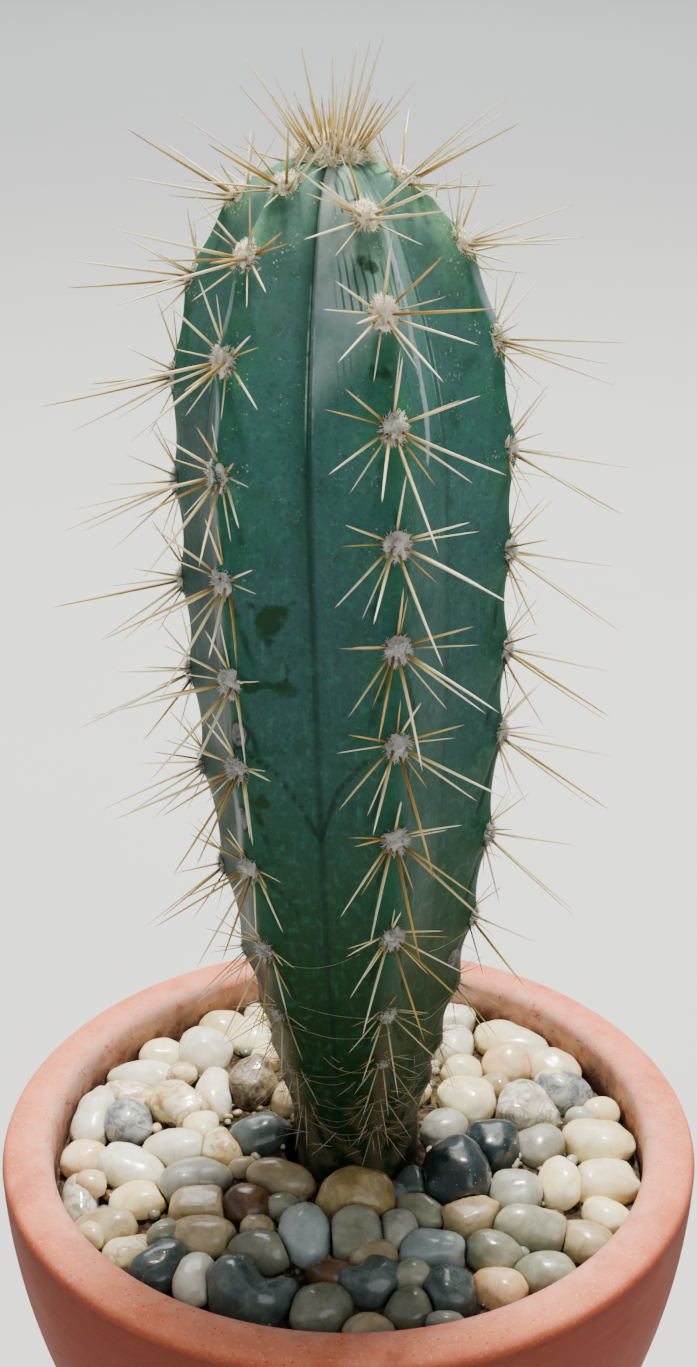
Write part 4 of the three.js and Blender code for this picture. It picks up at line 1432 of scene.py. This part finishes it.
def stone_points(stone, ball, random):
    """The stone's egg, made uneven by its own three slow waves and finer bumps."""
    swell = np.ones(len(ball))
    for wx, wy, wz, phase in stone.waves:
        swell += UNEVEN * (np.sin(ball @ np.array([wx, wy, wz]) + phase) - 0.42)
    square = SQUARE.get(stone.name, 2.05 + 0.4 * random())
    taper = 0.44 * (random() - 0.5)
    coarse = 0.2 if stone.finish in ("rough", "quartz", "patchy") else 0.11
    egg = shaped_egg(ball, stone.half, random, square, taper, coarse) * swell[:, None]
    if stone.name in HOLLOWS:
        middle, width, deep = HOLLOWS[stone.name]
        near = np.exp(-((egg[:, 0] / stone.half[0] - middle) / width) ** 2)
        side = np.clip(egg[:, 1] / stone.half[1] + egg[:, 2] / stone.half[2], 0, None)
        egg[:, 1] -= near * side * deep * stone.half[1] * 0.6
        egg[:, 2] -= near * side * deep * stone.half[2] * 0.5
    roll = Matrix.Rotation((random() - 0.5) * STONE_ROLL * RAD, 3, "X")
    pitch = Matrix.Rotation((random() - 0.5) * STONE_PITCH * RAD, 3, "Y")
    egg = egg @ np.array(roll @ pitch).T
    turned = egg @ np.array([[stone.cos, stone.sin, 0], [-stone.sin, stone.cos, 0], [0, 0, 1]])
    return turned + np.array([stone.x, stone.y, stone.z])


def lengths_in(stone, points):
    """How far points are from a stone's middle, in half sizes of the stone."""
    away = points - np.array([stone.x, stone.y, stone.z])
    turned = away @ np.array([[stone.cos, -stone.sin, 0], [stone.sin, stone.cos, 0], [0, 0, 1]])
    return np.sqrt(((turned / np.array(stone.half)) ** 2).sum(axis=1))


def held_apart(stone, points, stones):
    """A stone's points, drawn in where they would reach over the middle between it and a neighbour."""
    centre = np.array([stone.x, stone.y, stone.z])
    for other in stones:
        apart = math.dist(centre, (other.x, other.y, other.z))
        if other is stone or apart > stone.half[0] + other.half[0]:
            continue
        low = np.full(len(points), 0.3)
        high = np.ones(len(points))
        over = lengths_in(other, points) < lengths_in(stone, points) + CREASE_GAP
        for _ in range(12):
            share = (low + high) / 2
            tried = centre + (points - centre) * share[:, None]
            past = lengths_in(other, tried) < lengths_in(stone, tried) + CREASE_GAP
            high = np.where(past, share, high)
            low = np.where(past, low, share)
        points = np.where(over[:, None], centre + (points - centre) * low[:, None], points)
    return points


# Each finish: its two main colours, vein colour, share of veins, patch size in millimetres and roughness
STONE_LOOKS = {
    "ivory": [(250, 226, 158), (255, 248, 206), (222, 172, 98), 0.4, 9, 0.26],
    "white": [(244, 232, 200), (255, 253, 232), (190, 170, 130), 0.35, 8, 0.28],
    "bluish": [(164, 180, 176), (208, 218, 212), (134, 142, 128), 0.3, 7, 0.24],
    "patchy": [(244, 220, 160), (254, 244, 210), (182, 126, 52), 0.9, 6, 0.3],
    "sand": [(172, 148, 106), (212, 190, 148), (126, 100, 64), 0.45, 7, 0.28],
    "peach": [(234, 182, 120), (250, 222, 176), (206, 146, 86), 0.45, 7, 0.26],
    "olive": [(120, 122, 100), (168, 166, 140), (94, 94, 72), 0.35, 7, 0.24],
    "dove": [(148, 146, 130), (192, 190, 172), (116, 112, 96), 0.35, 7, 0.26],
    "mottled": [(100, 106, 112), (176, 178, 174), (56, 60, 66), 0.8, 3.6, 0.34],
    "slate": [(54, 70, 68), (94, 106, 100), (128, 136, 124), 0.36, 6, 0.26],
    "black": [(8, 22, 26), (26, 46, 48), (56, 74, 74), 0.35, 6, 0.3],
    "amber": [(146, 118, 62), (190, 172, 118), (108, 88, 50), 0.5, 6, 0.26],
    "brown": [(78, 50, 26), (132, 94, 54), (46, 28, 14), 0.6, 6, 0.3],
    "rough": [(84, 68, 44), (166, 148, 112), (40, 30, 20), 0.9, 3, 0.5],
    "quartz": [(164, 152, 130), (230, 222, 204), (104, 88, 70), 0.75, 5, 0.14],
}
# Finishes with one large patch of another colour, its share and how sharp its edge is
STONE_PATCHES = {
    "mottled": [(230, 216, 150), 0.95, 0.04],
    "patchy": [(208, 158, 78), 0.7, 0.1],
    "white": [(196, 190, 176), 0.5, 0.2],
    "slate": [(104, 112, 102), 0.5, 0.16],
    "sand": [(120, 106, 78), 0.45, 0.14],
}
# Slots that aren't named as the finish is
STONE_SLOTS = {"mottled": "pebble_grey", "rough": "pebble_brown"}


def stone_finish(name):
    first, second, vein, share, patch, gloss = STONE_LOOKS[name]
    look = Finish("pebble_" + name, roughness=gloss, specular=0.5, coat=0.35, coat_roughness=0.1)
    own = look.mark("own")
    mottled = look.clouds(patch * 1.6, 0.34, 0.64, detail=4, own=own)
    look.base = look.mix(colour(*first), colour(*second), mottled)
    ribbons = look.noise(patch, detail=5, own=own, distortion=0.7)
    thin = look.math("ABSOLUTE", look.minus(ribbons, 0.5))
    look.paint(vein, look.span(thin, 0.06, 0.0, 0, share * 0.8))
    look.paint(vein, look.clouds(patch * 0.7, 0.56, 0.7, 0, share, detail=5, own=own))
    if name in STONE_PATCHES:
        other, most, soft = STONE_PATCHES[name]
        look.paint(other, look.clouds(13, 0.56, 0.56 + soft, 0, most, detail=4, own=look.plus(own, 3.0)))
    crystals = look.span(look.cells(0.9), 0.16, 0.06)
    look.paint((250, 246, 232), crystals, look.clouds(5, 0.5, 0.62, 0, 0.5, own=own))
    dark = [c * 0.45 for c in colour(*first)[:3]] + [1.0]
    look.paint(dark, look.clouds(0.5, 0.6, 0.8, 0, 0.35, detail=2))
    look.dim(look.span(own, 0, 1, 0.78, 1.06, soft=False))
    pits = look.bump(look.noise(0.9), 0.1, 0.2)
    normal = look.bump(look.noise(4, own=own), 0.2, 0.6, under=pits)
    return look.done(look.clouds(3, 0.3, 0.7, gloss - 0.06, gloss + 0.14), normal)


def inside_stone(stone, x, y, z):
    dx, dy, dz = x - stone.x, y - stone.y, z - stone.z
    far = math.sqrt(dx * dx + dy * dy + dz * dz)
    return far < stone.reach(dx / far, dy / far, dz / far)


def make_stones(ball, grain):
    looks = {name: stone_finish(name) for name in STONE_LOOKS}
    random = draws(51)
    stones = settled_stones()
    bed = Heap()
    order = sorted(STONE_LOOKS)
    bright = {row[0] for row in BRIGHT_STONES}
    for stone in stones:
        points = held_apart(stone, stone_points(stone, ball[0], random), stones)
        if stone.name in bright:
            single = Heap()
            single.add(points, ball[1], own=random())
            piece = single.piece("pebble_" + stone.name[6:], looks[stone.finish])
            slot = STONE_SLOTS.get(stone.finish, "pebble_" + stone.finish)
            seat_piece(piece, slot, stone.name)
        else:
            bed.add(points, ball[1], slot=order.index(stone.finish), own=random())
    add_chips(bed, grain, stones, order, random)
    add_grains(bed, grain, order, random)
    pebbles = bed.piece("pale_pebbles", *[looks[name] for name in order])
    seat_piece(pebbles, "pebbles_pale", "pebble_bed")


def spun(points, turn):
    return points @ np.array(Matrix.Rotation(turn, 3, "Z")).T


def add_chips(bed, grain, stones, order, random):
    """Small stones in the gaps, left out where a settled stone lies over their place."""
    z = RIM_Z - CHIP_DEPTH
    for x, y, long, wide, thick, turn, kind in CHIPS:
        if any(inside_stone(stone, x, y, z) for stone in stones):
            continue
        square = 2.1 + random()
        half = (long / 2, wide / 2, thick / 2)
        points = shaped_egg(grain[0], half, random, square, taper=0.3, rough=0.16)
        placed = spun(points, turn * RAD) + np.array([x, y, z])
        bed.add(placed, grain[1], slot=order.index(kind), own=random())


def add_grains(bed, grain, order, random):
    """Grit in the gaps between the stones."""
    kinds = ["sand", "olive", "dove", "brown", "slate", "rough"]
    for _ in range(GRAINS):
        turn = random() * 2 * math.pi
        r = math.sqrt(random()) * GRIT_REACH
        x, y = r * math.sin(turn), -r * math.cos(turn)
        size = 0.6 + 1.2 * random() ** 2
        kind = kinds[int(random() * len(kinds))]
        own = random()
        if math.hypot(x - AXIS_AT_RIM, y) < FOOT_RADIUS + 0.6 + size or r > GRIT_REACH + 1.2 - size:
            continue
        z = bed_top(r) + size * 0.3 + random() * 0.6
        points = lump(grain[0], random, share=0.1) * np.array([size * 1.25, size, size * 0.8])
        placed = spun(points, own * 6.3) + np.array([x, y, z])
        bed.add(placed, grain[1], slot=order.index(kind), own=own)


# Gravel under the stones, and the soil

def gravel_finish():
    look = Finish("gravel", roughness=0.9, specular=0.2)
    bits = look.noise(1.6, detail=4)
    # the grit is dark brown, painted darker still as painted shade in the gaps between the stones
    look.base = look.ramp(bits, (0.3, 26, 20, 14), (0.5, 56, 44, 30), (0.62, 96, 80, 56), (0.75, 44, 34, 24))
    return look.done(normal=look.bump(bits, 0.8, 1.0))


def soil_finish():
    look = Finish("potting_soil", roughness=0.95, specular=0.15)
    crumbs = look.noise(2.2, detail=5)
    look.base = look.ramp(crumbs, (0.3, 38, 28, 20), (0.55, 74, 58, 42), (0.75, 104, 84, 62))
    return look.done(normal=look.bump(crumbs, 0.9, 1.2))


def make_gravel():
    hole = FOOT_RADIUS + 0.4
    rings = [hole + (GRAVEL_RADIUS - hole) * i / 20 for i in range(21)]
    profile = [[hole, SOIL_TOP + 0.5]]
    profile += [[r, bed_top(r)] for r in rings]
    profile += [[inside_radius(z) - 0.6, z] for z in (BED_AT_WALL - 1, 80, SOIL_TOP + 0.5)]
    profile += [[hole, SOIL_TOP + 0.5]]
    gravel = grown("gravel", profile, GRAVEL_SIDES, close_ends=False)
    for vertex in gravel.data.vertices:
        x, y, z = vertex.co / MM
        r = math.hypot(x, y)
        if z > BED_AT_WALL - 0.5 and hole + 1 < r < GRIT_REACH:
            vertex.co.z += 0.9 * MM * noise.noise(Vector((x, y, 0)) / 2.6)
    gravel.data.materials.append(gravel_finish())
    smooth(gravel, 50)
    seat_piece(gravel, "pebbles_pale")


# Studio

def make_floor():
    start_fresh()
    bpy.ops.mesh.primitive_plane_add(size=30, location=(0, 0, 0))
    floor = bpy.context.object
    floor.name = "studio_floor"
    look = Finish("pale_floor", roughness=0.7, specular=0.2)
    look.base = look.mix(colour(206, 208, 208), colour(212, 213, 212), look.noise(60, detail=2))
    floor.data.materials.append(look.done())


# Soft lights: name, place, point they face, size, watts and tint
PLANT_MIDDLE = (0, 0, 0.18)
LIGHTS = [
    ("key", (0.1, 0.5, 1.62), PLANT_MIDDLE, 0.24, 74, (1.0, 0.96, 0.88)),
    ("fill", (0.7, -1.1, 0.8), PLANT_MIDDLE, 1.1, 5, (0.94, 0.98, 1.0)),
    ("side", (-1.1, -0.35, 0.7), PLANT_MIDDLE, 1.2, 1.0, (1.0, 0.98, 0.94)),
    ("backdrop", (0, 3.2, 2.6), (0, 3.4, 0), 2.5, 110, (1.0, 1.0, 1.0)),
]


def make_lights():
    world = bpy.data.worlds.new("studio_air")
    bpy.context.scene.world = world
    world.use_nodes = True
    background = world.node_tree.nodes["Background"]
    background.inputs["Color"].default_value = (0.86, 0.92, 1.0, 1)
    background.inputs["Strength"].default_value = 0.36
    for name, place, target, size, watts, tint in LIGHTS:
        data = bpy.data.lights.new(name, "AREA")
        data.shape = "DISK"
        data.size = size
        data.energy = watts
        data.color = tint
        light = bpy.data.objects.new(name, data)
        light.location = place
        light.rotation_mode = "QUATERNION"
        light.rotation_quaternion = (Vector(target) - Vector(place)).to_track_quat("-Z", "Y")
        bpy.context.scene.collection.objects.link(light)


def make_camera():
    data = bpy.data.cameras.new("camera")
    data.lens = CAMERA_LENS
    data.sensor_width = 36
    data.clip_start = 0.01
    data.clip_end = 60
    camera = bpy.data.objects.new("camera", data)
    camera.location = (0, -CAMERA_BACK * MM, (RIM_Z + CAMERA_OVER_RIM) * MM)
    camera.rotation_euler = ((90 - CAMERA_DOWN_DEG) * RAD, 0, 0)
    bpy.context.scene.collection.objects.link(camera)
    bpy.context.scene.camera = camera


# The whole plant

# Radius and height of an upright spine and fibre, 1000 across and 1000 long, which MM makes 1
SPINE_PROFILE = [[1000, 0], [980, 250], [860, 500], [660, 750], [400, 920], [20, 1000]]
FIBRE_PROFILE = [[1000, 0], [800, 500], [50, 1000]]


def make_plant():
    ball = round_shape(4)
    small_ball = round_shape(3)
    grain = round_shape(2)
    spine = shape_of(grown("spine_shape", SPINE_PROFILE, 6))
    hair = cone_shape()
    fibre = shape_of(grown("fibre_shape", FIBRE_PROFILE, 3))
    make_pot()
    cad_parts["soil"].data.materials.clear()
    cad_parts["soil"].data.materials.append(soil_finish())
    make_gravel()
    make_stones(ball, grain)
    make_skin(waxy_skin())
    wool_finish = wool()
    spine_finish = horn()
    make_wool(wool_finish, small_ball, hair)
    make_spines(spine_finish, spine)
    other = draws(24)
    make_crown_wool(other, wool_finish, ball, fibre)
    make_crown_spines(other, spine_finish, spine)
    make_foot_hairs(silver_hair(), spine)


make_plant()
make_floor()
make_lights()
make_camera()
